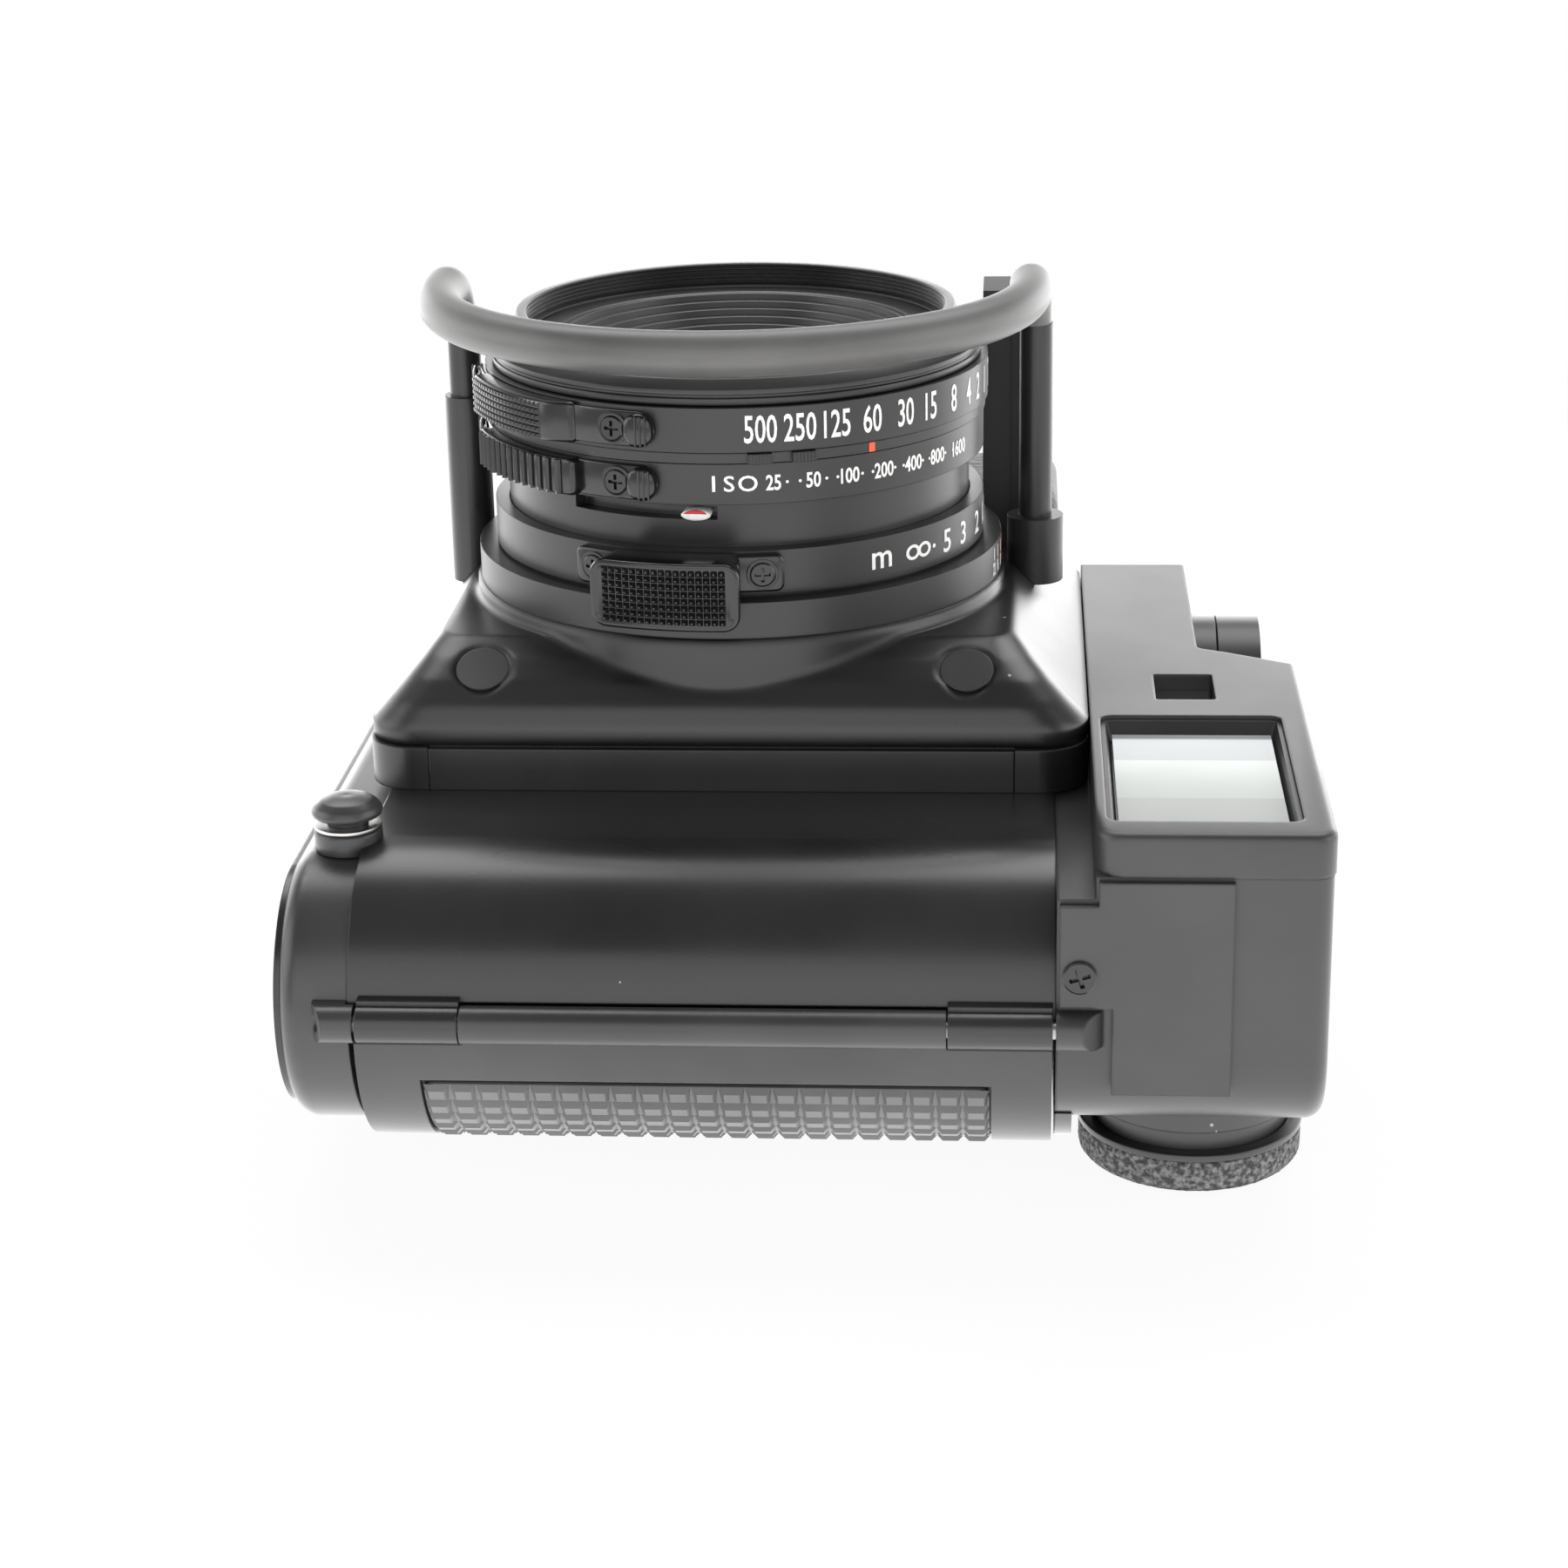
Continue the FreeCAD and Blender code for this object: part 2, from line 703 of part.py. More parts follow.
key_slot = box(
    "KeySlot", (-chamber_x - core_radius * 0.8, -chamber_x + core_radius * 0.8),
    (chamber_y - key_width / 2 - bore_gap, chamber_y + key_width / 2 + bore_gap),
    (spool_top - 4, spool_top),
)
spool_bore_low = rod("SpoolBoreLow", "z", spool_bore, (-chamber_x, chamber_y), (spool_low, spool_low + 6))
spool_bore_high = rod("SpoolBoreHigh", "z", spool_bore, (-chamber_x, chamber_y), (spool_top - 6, spool_top))
node("takeup_spool", cut("TakeupSpool", spool_blank, film_slot, key_slot, spool_bore_low, spool_bore_high))
takeup_pin_foot = rod(
    "PinFoot", "z", knob_tip_radius, (-chamber_x, chamber_y), (casting_bottom - 3, casting_bottom)
)
takeup_pin_shoulder = rod(
    "PinShoulder", "z", knob_pin_radius + 1, (-chamber_x, chamber_y),
    (casting_bottom, spool_low - slip_gap)
)
takeup_pin_tip = rod(
    "PinTip", "z", spool_bore - running, (-chamber_x, chamber_y), (spool_low - slip_gap, spool_low + 3.4)
)
takeup_pin = fuse("TakeupPin", takeup_pin_foot, takeup_pin_shoulder, takeup_pin_tip)
node("base_section", fuse("BaseWithPin", base_cut, takeup_pin))

# Top chassis plate: roof of the film chambers, carries the winding gears
chassis_thickness = size("chassis_thickness", 1.8)
cover_wall = size("cover_wall", 2)
cover_inner_radius = chamber_radius - cover_wall
chassis_top = casting_top + chassis_thickness
hub_x = -chamber_x
hub_y = chamber_y
shaft_radius = size("lever_shaft_radius", 2.5)
drive_bush_radius = size("drive_bush_radius", 3.5)
idler_x = size("idler_x", -37.5)
gear_module = size("gear_module", 0.55)
sun_teeth = size("lever_gear_teeth", 30)
idler_small_teeth = size("idler_small_teeth", 15)
idler_big_teeth = size("idler_big_teeth", 27)
takeup_teeth = size("takeup_gear_teeth", 18)
gear_centres = gear_module * (sun_teeth + idler_small_teeth) / 2
idler_dx = idler_x - hub_x
idler_dy_value = -math.sqrt(float(gear_centres) ** 2 - float(idler_dx) ** 2)
idler_y = Size(
    f"({hub_y.text} - sqrt({gear_centres.text} ^ 2 - {idler_dx.text} ^ 2))", float(hub_y) + idler_dy_value
)
idler_pin_radius = size("idler_pin_radius", 1.2)
gear_width = size("gear_width", 2)
takeup_gear_low = chassis_top + part_gap
idler_low = takeup_gear_low
sun_gear_low = takeup_gear_low + gear_width + half_step

deck_z = casting_top + size("deck_rise", 17.2)
counter_x = size("counter_x", -20.3)
counter_y = size("counter_y", -2)
dial_pin_radius = size("counter_pin_radius", 1)
dial_top = deck_z - cover_wall - part_gap

# The supply side has a fixed upper spool pin under the chassis
supply_upper_shoulder = rod(
    "SupplyShoulder", "z", knob_pin_radius + 1, (chamber_x, chamber_y),
    (spool_top + part_gap, casting_top)
)
supply_upper_tip = rod(
    "SupplyUpperTip", "z", knob_tip_radius, (chamber_x, chamber_y), (spool_top - 3, spool_top + part_gap)
)
trim_rear = size("top_rear_y", 14)
front_step = size("cover_front_y", -13.6)
shelf_start = trim_rear - cover_wall
chassis_inner = stadium(
    "ChassisInner", chamber_y - front_step - cover_wall - seat_gap, chamber_x, chamber_y,
    (casting_top, chassis_top),
)
shelf_zone = box("ShelfZone", (-beyond, beyond), (shelf_start, body_rear + 1), (casting_top, chassis_top))
chassis_shelf = common(
    "ChassisShelf",
    stadium("ShelfPlan", chamber_radius, chamber_x, chamber_y, (casting_top, chassis_top)),
    shelf_zone
)
corner_relief = box(
    "CornerRelief", (hinge_x - 10, beyond), (hinge_y + hinge_radius * 2, shelf_start),
    (casting_top, chassis_top)
)
chassis_plate = fuse(
    "ChassisPlate", cut("ChassisFront", chassis_inner, shelf_zone, corner_relief), chassis_shelf
)
counter_post = rod("CounterPost", "z", dial_pin_radius, (counter_x, counter_y), (chassis_top, dial_top))
idler_post = rod(
    "IdlerPost", "z", idler_pin_radius, (idler_x, idler_y),
    (chassis_top, sun_gear_low + gear_width + deep_step)
)
drive_hole = rod("DriveHole", "z", drive_bush_radius + running, (hub_x, hub_y), (casting_top, chassis_top))
node(
    "top_chassis",
    cut(
        "TopChassis",
        fuse(
            "ChassisWhole", chassis_plate, idler_post, counter_post, supply_upper_shoulder,
            supply_upper_tip
        ),
        drive_hole,
    ),
)

# Winding gears
tooth_height = size("tooth_addendum", 0.48)
tooth_root = size("tooth_dedendum", 0.68)


def gear(name, teeth, centre, low, bore, phase):
    """A straight-toothed gear: each tooth is a trapezium between root and tip."""
    count = int(round(float(teeth)))
    pitch_radius = float(gear_module) * count / 2
    tip = pitch_radius + float(tooth_height)
    root = pitch_radius - float(tooth_root)
    step = 2 * math.pi / count
    points = []
    for index in range(count):
        middle_angle = index * step + phase
        for radius, share in ((root, -0.32), (tip, -0.12), (tip, 0.12), (root, 0.32)):
            angle = middle_angle + share * step
            points.append(FreeCAD.Vector(radius * math.cos(angle), radius * math.sin(angle), 0))
    face = Part.Face(Part.makePolygon(points + points[:1]))
    solid = face.extrude(FreeCAD.Vector(0, 0, float(gear_width)))
    if float(bore) > 0:
        solid = solid.cut(Part.makeCylinder(float(bore), float(gear_width)))
    thing = doc.addObject("Part::Feature", name)
    thing.Shape = solid
    thing.Placement = FreeCAD.Placement(
        FreeCAD.Vector(*[float(as_size(v)) for v in (*centre, low)]), FreeCAD.Rotation()
    )
    return thing


mesh_angle = math.atan2(float(idler_y - hub_y), float(idler_dx))


def facing_phase(teeth, angle, tooth_first):
    """Turns a gear so that a tooth, or a gap, lies on the line of centres."""
    step = 2 * math.pi / float(teeth)
    return angle + (0 if tooth_first else step / 2)


sun_gear = gear(
    "SunGear", sun_teeth, (hub_x, hub_y), sun_gear_low, shaft_radius * 0.5,
    facing_phase(sun_teeth, mesh_angle, True),
)
small_gear = gear(
    "SmallGear", idler_small_teeth, (idler_x, idler_y), sun_gear_low, idler_pin_radius + running,
    facing_phase(idler_small_teeth, mesh_angle + math.pi, False),
)
big_gear = gear(
    "BigGear", idler_big_teeth, (idler_x, idler_y), idler_low, idler_pin_radius + running,
    facing_phase(idler_big_teeth, mesh_angle + math.pi, True),
)
takeup_gear = gear(
    "TakeupGear", takeup_teeth, (hub_x, hub_y), takeup_gear_low, shaft_radius * 0.5,
    facing_phase(takeup_teeth, mesh_angle, False),
)
idler_sleeve = rod(
    "IdlerSleeve", "z", idler_pin_radius + 1.4, (idler_x, idler_y), (idler_low, sun_gear_low + gear_width)
)
idler_bore = rod(
    "IdlerBore", "z", idler_pin_radius + running, (idler_x, idler_y),
    (idler_low, sun_gear_low + gear_width)
)
node("idler_gear", fuse("IdlerGear", small_gear, big_gear, cut("IdlerTube", idler_sleeve, idler_bore)))
drive_shaft = rod(
    "DriveShaft", "z", drive_bush_radius, (hub_x, hub_y),
    (spool_top + part_gap, takeup_gear_low + gear_width)
)
drive_key = box(
    "DriveKey", (hub_x - core_radius * 0.7, hub_x + core_radius * 0.7), (
        hub_y - key_width / 2, hub_y + key_width / 2
    ),
    (spool_top - 3, spool_top + part_gap),
)
drive_core = rod("DriveCore", "z", knob_tip_radius, (hub_x, hub_y), (spool_top - 4.5, spool_top + part_gap))
node("takeup_drive", fuse("TakeupDrive", takeup_gear, drive_shaft, drive_key, drive_core))

# Top cover: lower deck, finder hump and the nose over the lens box
hump_z = deck_z + size("hump_rise", 11.1)
cover_near_x = size("cover_near_x", 66.2)
hump_far_low = size("hump_foot_x", 3)
hump_far_high = size("hump_shoulder_x", 8.5)
nose_far_x = size("nose_far_x", -33)
nose_bottom = casting_top + size("nose_rise", 4)
bezel_front = size("bezel_front_y", -20.8)
bezel_back = size("bezel_back_y", -16.1)
cover_round = size("cover_corner_round", 9)
cover_bevel = size("bezel_bevel", 2.5)
cover_top_bevel = size("bezel_top_bevel", 1.7)

deck_block = box("DeckBlock", (-chamber_x, cover_near_x), (front_step, trim_rear), (casting_top, deck_z))
deck_end = rod("DeckEnd", "z", chamber_radius - small_step, (-chamber_x, chamber_y), (casting_top, deck_z))
hump_profile = fronted(
    "HumpProfile",
    [
        (hump_far_low, deck_z - 3),
        (hump_far_low, deck_z),
        (hump_far_high, hump_z),
        (cover_near_x, hump_z),
        (cover_near_x, deck_z - 3),
    ],
    (bezel_back, trim_rear),
)
nose_block = box("NoseBlock", (nose_far_x, cover_near_x), (bezel_back, front_step), (nose_bottom, deck_z))
cover_solid = doc.addObject("Part::Refine", "CoverSolid")
cover_solid.Source = fuse("CoverBlocks", deck_block, deck_end, hump_profile, nose_block)
cover_shape = rounded(
    "CoverShape", cover_solid, cover_round, Z_AXIS,
    lambda p: p.x > float(cover_near_x) - 0.1 and p.y > float(trim_rear) - 0.1
)
hump_shape = rounded(
    "HumpShape", cover_shape, 2, Y_AXIS,
    lambda p: p.z > float(hump_z) - 0.1 and p.x > float(cover_near_x) - 0.1
)
deck_hollow = box(
    "DeckHollow", (-chamber_x, cover_near_x - cover_wall), (
        front_step + cover_wall, trim_rear - cover_wall
    ),
    (casting_top, deck_z - cover_wall),
)
deck_end_hollow = rod(
    "DeckEndHollow", "z", cover_inner_radius, (-chamber_x, chamber_y), (casting_top, deck_z - cover_wall)
)
deck_end_trim = box(
    "DeckEndTrim", (-beyond, nose_far_x), (trim_rear, trim_rear + 20), (casting_top, deck_z)
)
deck_end_keep = box(
    "DeckEndKeep", (-beyond, nose_far_x), (shelf_start, trim_rear + 20),
    (casting_top, deck_z - cover_wall)
)
cover_shelf_space = box(
    "CoverShelfSpace", (-beyond, beyond), (shelf_start - seat_gap, trim_rear + 20),
    (casting_top, chassis_top)
)
end_hollow = cut("EndHollow", deck_end_hollow, deck_end_keep)
hump_hollow = box(
    "HumpHollow", (hump_far_high + cover_wall, cover_near_x - cover_wall), (
        bezel_back, trim_rear - cover_wall
    ),
    (nose_bottom + cover_wall, hump_z - cover_wall),
)
nose_hollow = box(
    "NoseHollow", (nose_far_x + cover_wall, cover_near_x - cover_wall), (
        bezel_back, front_step + cover_wall
    ),
    (nose_bottom + cover_wall, deck_z - cover_wall),
)
corner_keep = rounded(
    "CornerKeep",
    box(
        "CornerBlock", (cover_near_x - 30, cover_near_x - cover_wall), (-beyond, trim_rear - cover_wall),
        (casting_top, hump_z),
    ),
    float(cover_round) - float(cover_wall), Z_AXIS,
    lambda p: p.x > float(cover_near_x) - 5 and p.y > 0,
)
hump_hollow_near = common(
    "HumpHollowNear", hump_hollow,
    fuse(
        "KeepZone", corner_keep, box(
            "KeepRest", (-beyond, cover_near_x - 29), (-beyond, beyond), (casting_top, hump_z)
        )
    ),
)
deck_hollow_near = common(
    "DeckHollowNear", deck_hollow,
    fuse(
        "KeepZoneLow", corner_keep,
        box("KeepRestLow", (-beyond, cover_near_x - 29), (-beyond, beyond), (casting_top, hump_z)),
    ),
)

# Openings in the top cover
eyepiece_x = size("eyepiece_x", 45)
eyepiece_z = casting_top + size("eyepiece_rise", 15.2)
eyepiece_radius = size("eyepiece_tube_radius", 10.8)
eyepiece_hole = rod(
    "EyepieceHole", "y", eyepiece_radius - 2, (eyepiece_x, eyepiece_z),
    (trim_rear - cover_wall - 1, trim_rear + 1),
)
hub_radius = size("lever_hub_radius", 11.2)
counter_ring = size("counter_numeral_radius", 5.9)
shaft_hole = rod("ShaftHole", "z", shaft_radius + running, (hub_x, hub_y), (deck_z - cover_wall, deck_z))
counter_hole = box(
    "CounterHole", (counter_x - counter_ring - 2, counter_x - counter_ring + 2),
    (counter_y - 1.8, counter_y + 1.8), (deck_z - cover_wall, deck_z)
)
lug_high_span = (casting_top, casting_top + lug_length)
lug_high = hinge_lug("HighLug", lug_high_span, lug_high_span, 1)
cover_hollowed = cut(
    "CoverHollowed", hump_shape, deck_hollow_near, end_hollow, hump_hollow_near, nose_hollow,
    deck_end_trim,
    eyepiece_hole, shaft_hole, counter_hole, cover_shelf_space,
)
far_lug_z = casting_top + size("far_lug_rise", 9.2)
far_lug_hole = rod(
    "FarLugHole", "x", lug_shank_radius + seat_gap, (chamber_y, far_lug_z),
    (-chamber_x - chamber_radius - 1, -chamber_x - chamber_radius + cover_wall + 1),
)
lug_outside = cut(
    "LugOutside", lug_high, box("LugTrim", (0, cover_near_x), (-10, 10), (casting_top - 1, deck_z))
)
panel_depth = size("side_panel_proud", 0.8)
node(
    "top_cover",
    cut("TopCover", fuse("CoverWhole", cover_hollowed, lug_outside), far_lug_hole,
        rod(
            "CoverPinHole", "z", hinge_pin_radius + running, (hinge_x, hinge_y),
            (casting_top, casting_top + lug_length - lug_slant),
        )),
)

# Raised side panel with its screw
side_panel_low = casting_top + part_gap
side_panel = sided(
    "SidePanel",
    [
        (bezel_back + ledge, nose_bottom + part_gap),
        (bezel_back + ledge, deck_z + 0.9),
        (trim_rear - cover_round + 3, deck_z + 0.9),
        (trim_rear - cover_round + 3, side_panel_low + lug_length + deep_step),
        (hinge_y + hinge_radius + half_step, side_panel_low + lug_length + deep_step),
        (hinge_y - hinge_radius - half_step, side_panel_low + lug_length + deep_step),
        (hinge_y - hinge_radius - half_step, side_panel_low),
        (front_step + half_step, side_panel_low),
        (front_step + half_step, nose_bottom + part_gap),
    ],
    (cover_near_x, cover_near_x + panel_depth),
)
panel_screw_y = size("panel_screw_y", -5.3)
panel_screw_z = casting_top + size("panel_screw_rise", 2.4)
node("side_panel", side_panel)

# Finder bezel with the window recess
bezel_profile = fronted(
    "BezelProfile",
    [
        (nose_far_x, nose_bottom),
        (nose_far_x, deck_z),
        (hump_far_low, deck_z),
        (hump_far_high, hump_z + small_step),
        (cover_near_x + part_gap, hump_z + small_step),
        (cover_near_x + part_gap, nose_bottom),
    ],
    (bezel_front, bezel_back),
)
doc.recompute()
bezel_bevel_z = chamfered(
    "BezelSideBevel", bezel_profile, cover_bevel, Z_AXIS,
    lambda p: p.x > float(cover_near_x) and p.y < float(bezel_front) + 0.1,
)
bezel_bevels = chamfered(
    "BezelBevels", bezel_bevel_z, cover_top_bevel, X_AXIS,
    lambda p: p.z > float(hump_z) and p.y < float(bezel_front) + 0.1,
)
window_x0 = size("window_near_x", 62.3)
window_x1 = size("window_far_x", 28.3)
window_low = nose_bottom + size("window_sill", 1.1)
window_high = hump_z - size("window_head", 3)
recess_depth = size("window_recess", 2.6)
window_frame = size("window_frame", 1.2)
recess = doc.addObject("Part::Wedge", "WindowRecess")
bind(
    recess,
    Xmin=window_x1, Xmax=window_x0, Zmin=window_low, Zmax=window_high, Ymin=0, Ymax=recess_depth,
    X2min=window_x1 + 2.6, X2max=window_x0 - window_frame, Z2min=window_low + window_frame,
    Z2max=window_high - window_frame,
)
place(recess, (0, bezel_front, 0))
window_hole = box(
    "WindowHole", (window_x1 + 3.4, window_x0 - 2), (bezel_front, bezel_back), (
        window_low + 2, window_high - 2
    )
)
small_x0 = size("small_window_near_x", 22.6)
small_x1 = size("small_window_far_x", 13.3)
small_low = nose_bottom + size("small_window_rise", 7.6)
small_high = small_low + size("small_window_height", 6.8)
small_hole = box("SmallHole", (small_x1, small_x0), (bezel_front, bezel_back), (small_low, small_high))
node("finder_bezel", cut("FinderBezel", bezel_bevels, recess, window_hole, small_hole))
glass = size("window_glass", 1.2)
node(
    "viewfinder_window",
    box(
        "ViewfinderWindow", (window_x1 + 2.7, window_x0 - window_frame - panel_gap),
        (bezel_front + recess_depth - glass, bezel_front + recess_depth),
        (window_low + window_frame + panel_gap, window_high - window_frame - panel_gap),
    ),
)
node(
    "rangefinder_window",
    box(
        "RangefinderWindow", (small_x1 + 0.05, small_x0 - 0.05), (
            bezel_front + 1.8, bezel_front + 1.8 + glass
        ),
        (small_low + 0.05, small_high - 0.05),
    ),
)
finder_low = nose_bottom + cover_wall
finder_depth = size("finder_block_depth", 22)
finder_x0 = window_x0 - 3.4
finder_front = bezel_back + deep_step
finder_ledge = box(
    "FinderBlockFoot", (small_x1 - deep_step, finder_x0),
    (finder_front + 3, finder_front + finder_depth), (
        finder_low - 1.6, finder_low + 2
    )
)
finder_body = box(
    "FinderBlockBody", (window_x1 + 5, finder_x0), (finder_front, finder_front + finder_depth),
    (finder_low, window_high - 2.4)
)
finder_arm = box(
    "FinderArm", (small_x1 - deep_step, window_x1 + 5), (finder_front + 2, finder_front + 12),
    (finder_low, small_high + 1)
)
finder_trim = box(
    "FinderTrim", (-beyond, beyond), (body_front - 10, front_step + cover_wall + panel_gap),
    (0, finder_low + 0.05)
)
node(
    "finder_block",
    cut("FinderBlock", fuse("FinderBlockWhole", finder_ledge, finder_body, finder_arm), finder_trim),
)

# Eyepiece and eyecup
tube_length = size("eyepiece_tube_length", 7.6)
cup_radius = size("eyecup_radius", 12.3)
cup_length = size("eyecup_length", 4)
cup_bore = size("eyecup_bore", 7.6)
tube_back = trim_rear + tube_length
node(
    "eyepiece_tube",
    cut(
        "EyepieceTube",
        fuse(
            "EyepieceFull",
            rod(
                "EyepieceFlange", "y", eyepiece_radius + 0.7, (eyepiece_x, eyepiece_z),
                (trim_rear, trim_rear + 3.4),
            ),
            rod(
                "EyepieceNeck", "y", eyepiece_radius, (eyepiece_x, eyepiece_z),
                (trim_rear + 3.4, tube_back)
            ),
            rod(
                "EyepieceSpigot", "y", eyepiece_radius - 2 - seat_gap, (eyepiece_x, eyepiece_z),
                (trim_rear - cover_wall, trim_rear),
            ),
        ),
        rod(
            "EyepieceBore", "y", cup_bore - 1, (eyepiece_x, eyepiece_z),
            (trim_rear - cover_wall, tube_back)
        ),
        rod("EyepieceSeat", "y", cup_bore + ledge, (eyepiece_x, eyepiece_z), (tube_back - 3, tube_back)),
    ),
)
node(
    "eyepiece_lens",
    rod(
        "EyepieceLens", "y", cup_bore + free_gap, (eyepiece_x, eyepiece_z),
        (tube_back - 2.9, tube_back - ledge),
    ),
)
node(
    "eyecup",
    cut(
        "Eyecup",
        rod(
            "EyecupRing", "y", cup_radius, (eyepiece_x, eyepiece_z),
            (tube_back - 1.2, tube_back - 1.2 + cup_length),
        ),
        rod(
            "EyecupSeat", "y", eyepiece_radius + seat_gap, (eyepiece_x, eyepiece_z),
            (tube_back - 1.2, tube_back),
        ),
        rod(
            "EyecupBore", "y", cup_bore, (eyepiece_x, eyepiece_z),
            (tube_back - 1.2, tube_back + cup_length)
        ),
    ),
)

# Accessory shoe on the lower deck
shoe_x = size("shoe_x", -10.5)
shoe_width = size("shoe_inner_width", 18.7)
shoe_length = size("shoe_length", 18.5)
shoe_slot = size("shoe_slot_height", 2.1)
shoe_plate = size("shoe_plate", 0.9)
shoe_lip = size("shoe_lip", 2.9)
shoe_y0 = size("shoe_front_y", -9)
shoe_side = size("shoe_side_wall", 1.1)
shoe_half = shoe_width / 2
shoe_out = box(
    "ShoeOut", (shoe_x - shoe_half - shoe_side, shoe_x + shoe_half + shoe_side), (
        shoe_y0, shoe_y0 + shoe_length
    ),
    (deck_z, deck_z + shoe_plate + shoe_slot + shoe_plate),
)
shoe_channel = box(
    "ShoeChannel", (shoe_x - shoe_half, shoe_x + shoe_half), (shoe_y0 + shoe_side, shoe_y0 + shoe_length),
    (deck_z + shoe_plate, deck_z + shoe_plate + shoe_slot),
)
shoe_mouth = box(
    "ShoeMouth", (shoe_x - shoe_half + shoe_lip, shoe_x + shoe_half - shoe_lip), (
        shoe_y0, shoe_y0 + shoe_length
    ),
    (deck_z + shoe_plate, deck_z + shoe_plate + shoe_slot + shoe_plate),
)
contact_radius = size("shoe_contact_radius", 1.5)
contact_hole = rod(
    "ContactHole", "z", contact_radius + seat_gap, (shoe_x, shoe_y0 + shoe_length / 2),
    (deck_z, deck_z + shoe_plate),
)
shoe_contact = rod(
    "ShoeContact", "z", contact_radius, (shoe_x, shoe_y0 + shoe_length / 2),
    (deck_z, deck_z + shoe_plate + bore_gap),
)
node(
    "accessory_shoe",
    group(
        "ShoeAndContact", cut("AccessoryShoe", shoe_out, shoe_channel, shoe_mouth, contact_hole),
        shoe_contact,
    ),
)

# Frame counter under the deck
dial_radius = size("counter_dial_radius", 8.4)
dial_thickness = size("counter_dial_thickness", 0.8)
dial_disc = rod("DialDisc", "z", dial_radius, (counter_x, counter_y), (dial_top - dial_thickness, dial_top))
dial_hub = rod(
    "DialHub", "z", dial_pin_radius + 1.4, (counter_x, counter_y),
    (chassis_top + part_gap, dial_top - dial_thickness),
)
dial_bore = rod("DialBore", "z", dial_pin_radius + running, (counter_x, counter_y), (chassis_top, dial_top))
node("counter_dial", cut("CounterDial", fuse("DialWhole", dial_disc, dial_hub), dial_bore))

# Advance lever: hub under the release collar, arm along the rear of the deck
lever_low = deck_z + slip_gap
hub_height = size("lever_hub_height", 5)
hub_top = lever_low + hub_height
lever_length = size("lever_length", 23.4)
lever_width = size("lever_width", 9)
lever_thickness = size("lever_thickness", 3)
release_post_radius = size("release_post_radius", 1.2)
lever_hub = rod("LeverHub", "z", hub_radius, (hub_x, hub_y), (lever_low, hub_top))
lever_arm = box(
    "LeverArm", (hub_x - 3, hub_x + lever_length), (hub_y + 2, hub_y + 2 + lever_width), (
        lever_low, lever_low + lever_thickness
    )
)
lever_tip = rod(
    "LeverTip", "z", lever_width / 2, (hub_x + lever_length, hub_y + 2 + lever_width / 2), (
        lever_low, lever_low + lever_thickness + 1.4
    )
)
lever_shaft = rod(
    "LeverShaft", "z", shaft_radius, (hub_x, hub_y), (takeup_gear_low + gear_width + slip_gap, lever_low)
)
lever_bore = rod("LeverBore", "z", release_post_radius + running, (hub_x, hub_y), (hub_top - 2, hub_top))
node(
    "advance_lever",
    cut(
        "AdvanceLever", fuse("LeverWhole", lever_hub, lever_arm, lever_tip, lever_shaft, sun_gear),
        lever_bore,
    ),
)

# Release collar with the dished well for the shutter button
collar_low = hub_top + slip_gap
collar_height = size("release_collar_height", 5.6)
collar_top = collar_low + collar_height
button_radius = size("shutter_button_radius", 5.2)
button_travel = size("shutter_button_travel", 2.4)
well_floor = size("release_well_floor", 1.2)
collar_body = rod("CollarBody", "z", hub_radius, (hub_x, hub_y), (collar_low, collar_top))
collar_well = rod(
    "CollarWell", "z", button_radius + running, (hub_x, hub_y), (collar_low + well_floor, collar_top)
)
collar_post = rod("CollarPost", "z", release_post_radius, (hub_x, hub_y), (hub_top - 2, collar_low))
node("release_collar", fuse("ReleaseCollar", cut("CollarCut", collar_body, collar_well), collar_post))
button_low = collar_low + well_floor + button_travel + part_gap
cable_radius = size("cable_thread_radius", 1.6)
cable_depth = size("cable_thread_depth", 1.6)
button_body = rod("ButtonBody", "z", button_radius, (hub_x, hub_y), (button_low, collar_top + small_step))
cable_hole = rod(
    "CableHole", "z", cable_radius, (hub_x, hub_y),
    (collar_top + small_step - cable_depth, collar_top + small_step)
)
node("shutter_button", cut("ShutterButton", button_body, cable_hole))

# Hand grip over the far film chamber
grip_far_x = size("grip_far_x", -77)
grip_front_y = size("grip_front_y", -27)
grip_near_x = size("grip_near_x", -42)
grip_low = casting_bottom + size("grip_foot_gap", 0.8)
grip_top = casting_top + size("grip_top_rise", 1.2)
grip_lean = size("grip_front_lean", 5)
grip_side = size("grip_side_depth", 11)
grip_body = upright(
    "GripBody",
    [
        (grip_near_x, body_front),
        (grip_near_x - grip_lean, grip_front_y),
        (grip_far_x + grip_lean, grip_front_y),
        (grip_far_x, grip_front_y + grip_side),
        (grip_far_x + grip_lean, split_y),
        (-chamber_x - chamber_radius + body_wall, split_y),
        (-chamber_x, body_front + body_wall),
    ],
    (grip_low, grip_top),
)
grip_round = size("grip_round", 8)
grip_flank_round = size("grip_flank_round", 14)
grip_rim_round = size("grip_rim_round", 3)
soften(grip_body, grip_round, Z_AXIS, lambda p: p.y < float(grip_front_y) + 1)
soften(
    grip_body, grip_flank_round, Z_AXIS,
    lambda p: p.x < float(grip_far_x) + 1 and abs(p.y - float(grip_front_y + grip_side)) < 1,
)
soften_rims(grip_body, grip_rim_round, (grip_low, grip_top))
grip_cut = rod("GripCut", "z", chamber_radius + seat_gap, (-chamber_x, chamber_y), (0, hump_z))
grip_cut_flat = box("GripCutFlat", (-chamber_x, 0), (body_front - seat_gap, body_rear), (0, hump_z))
node("hand_grip", cut("HandGrip", grip_body, grip_cut, grip_cut_flat))

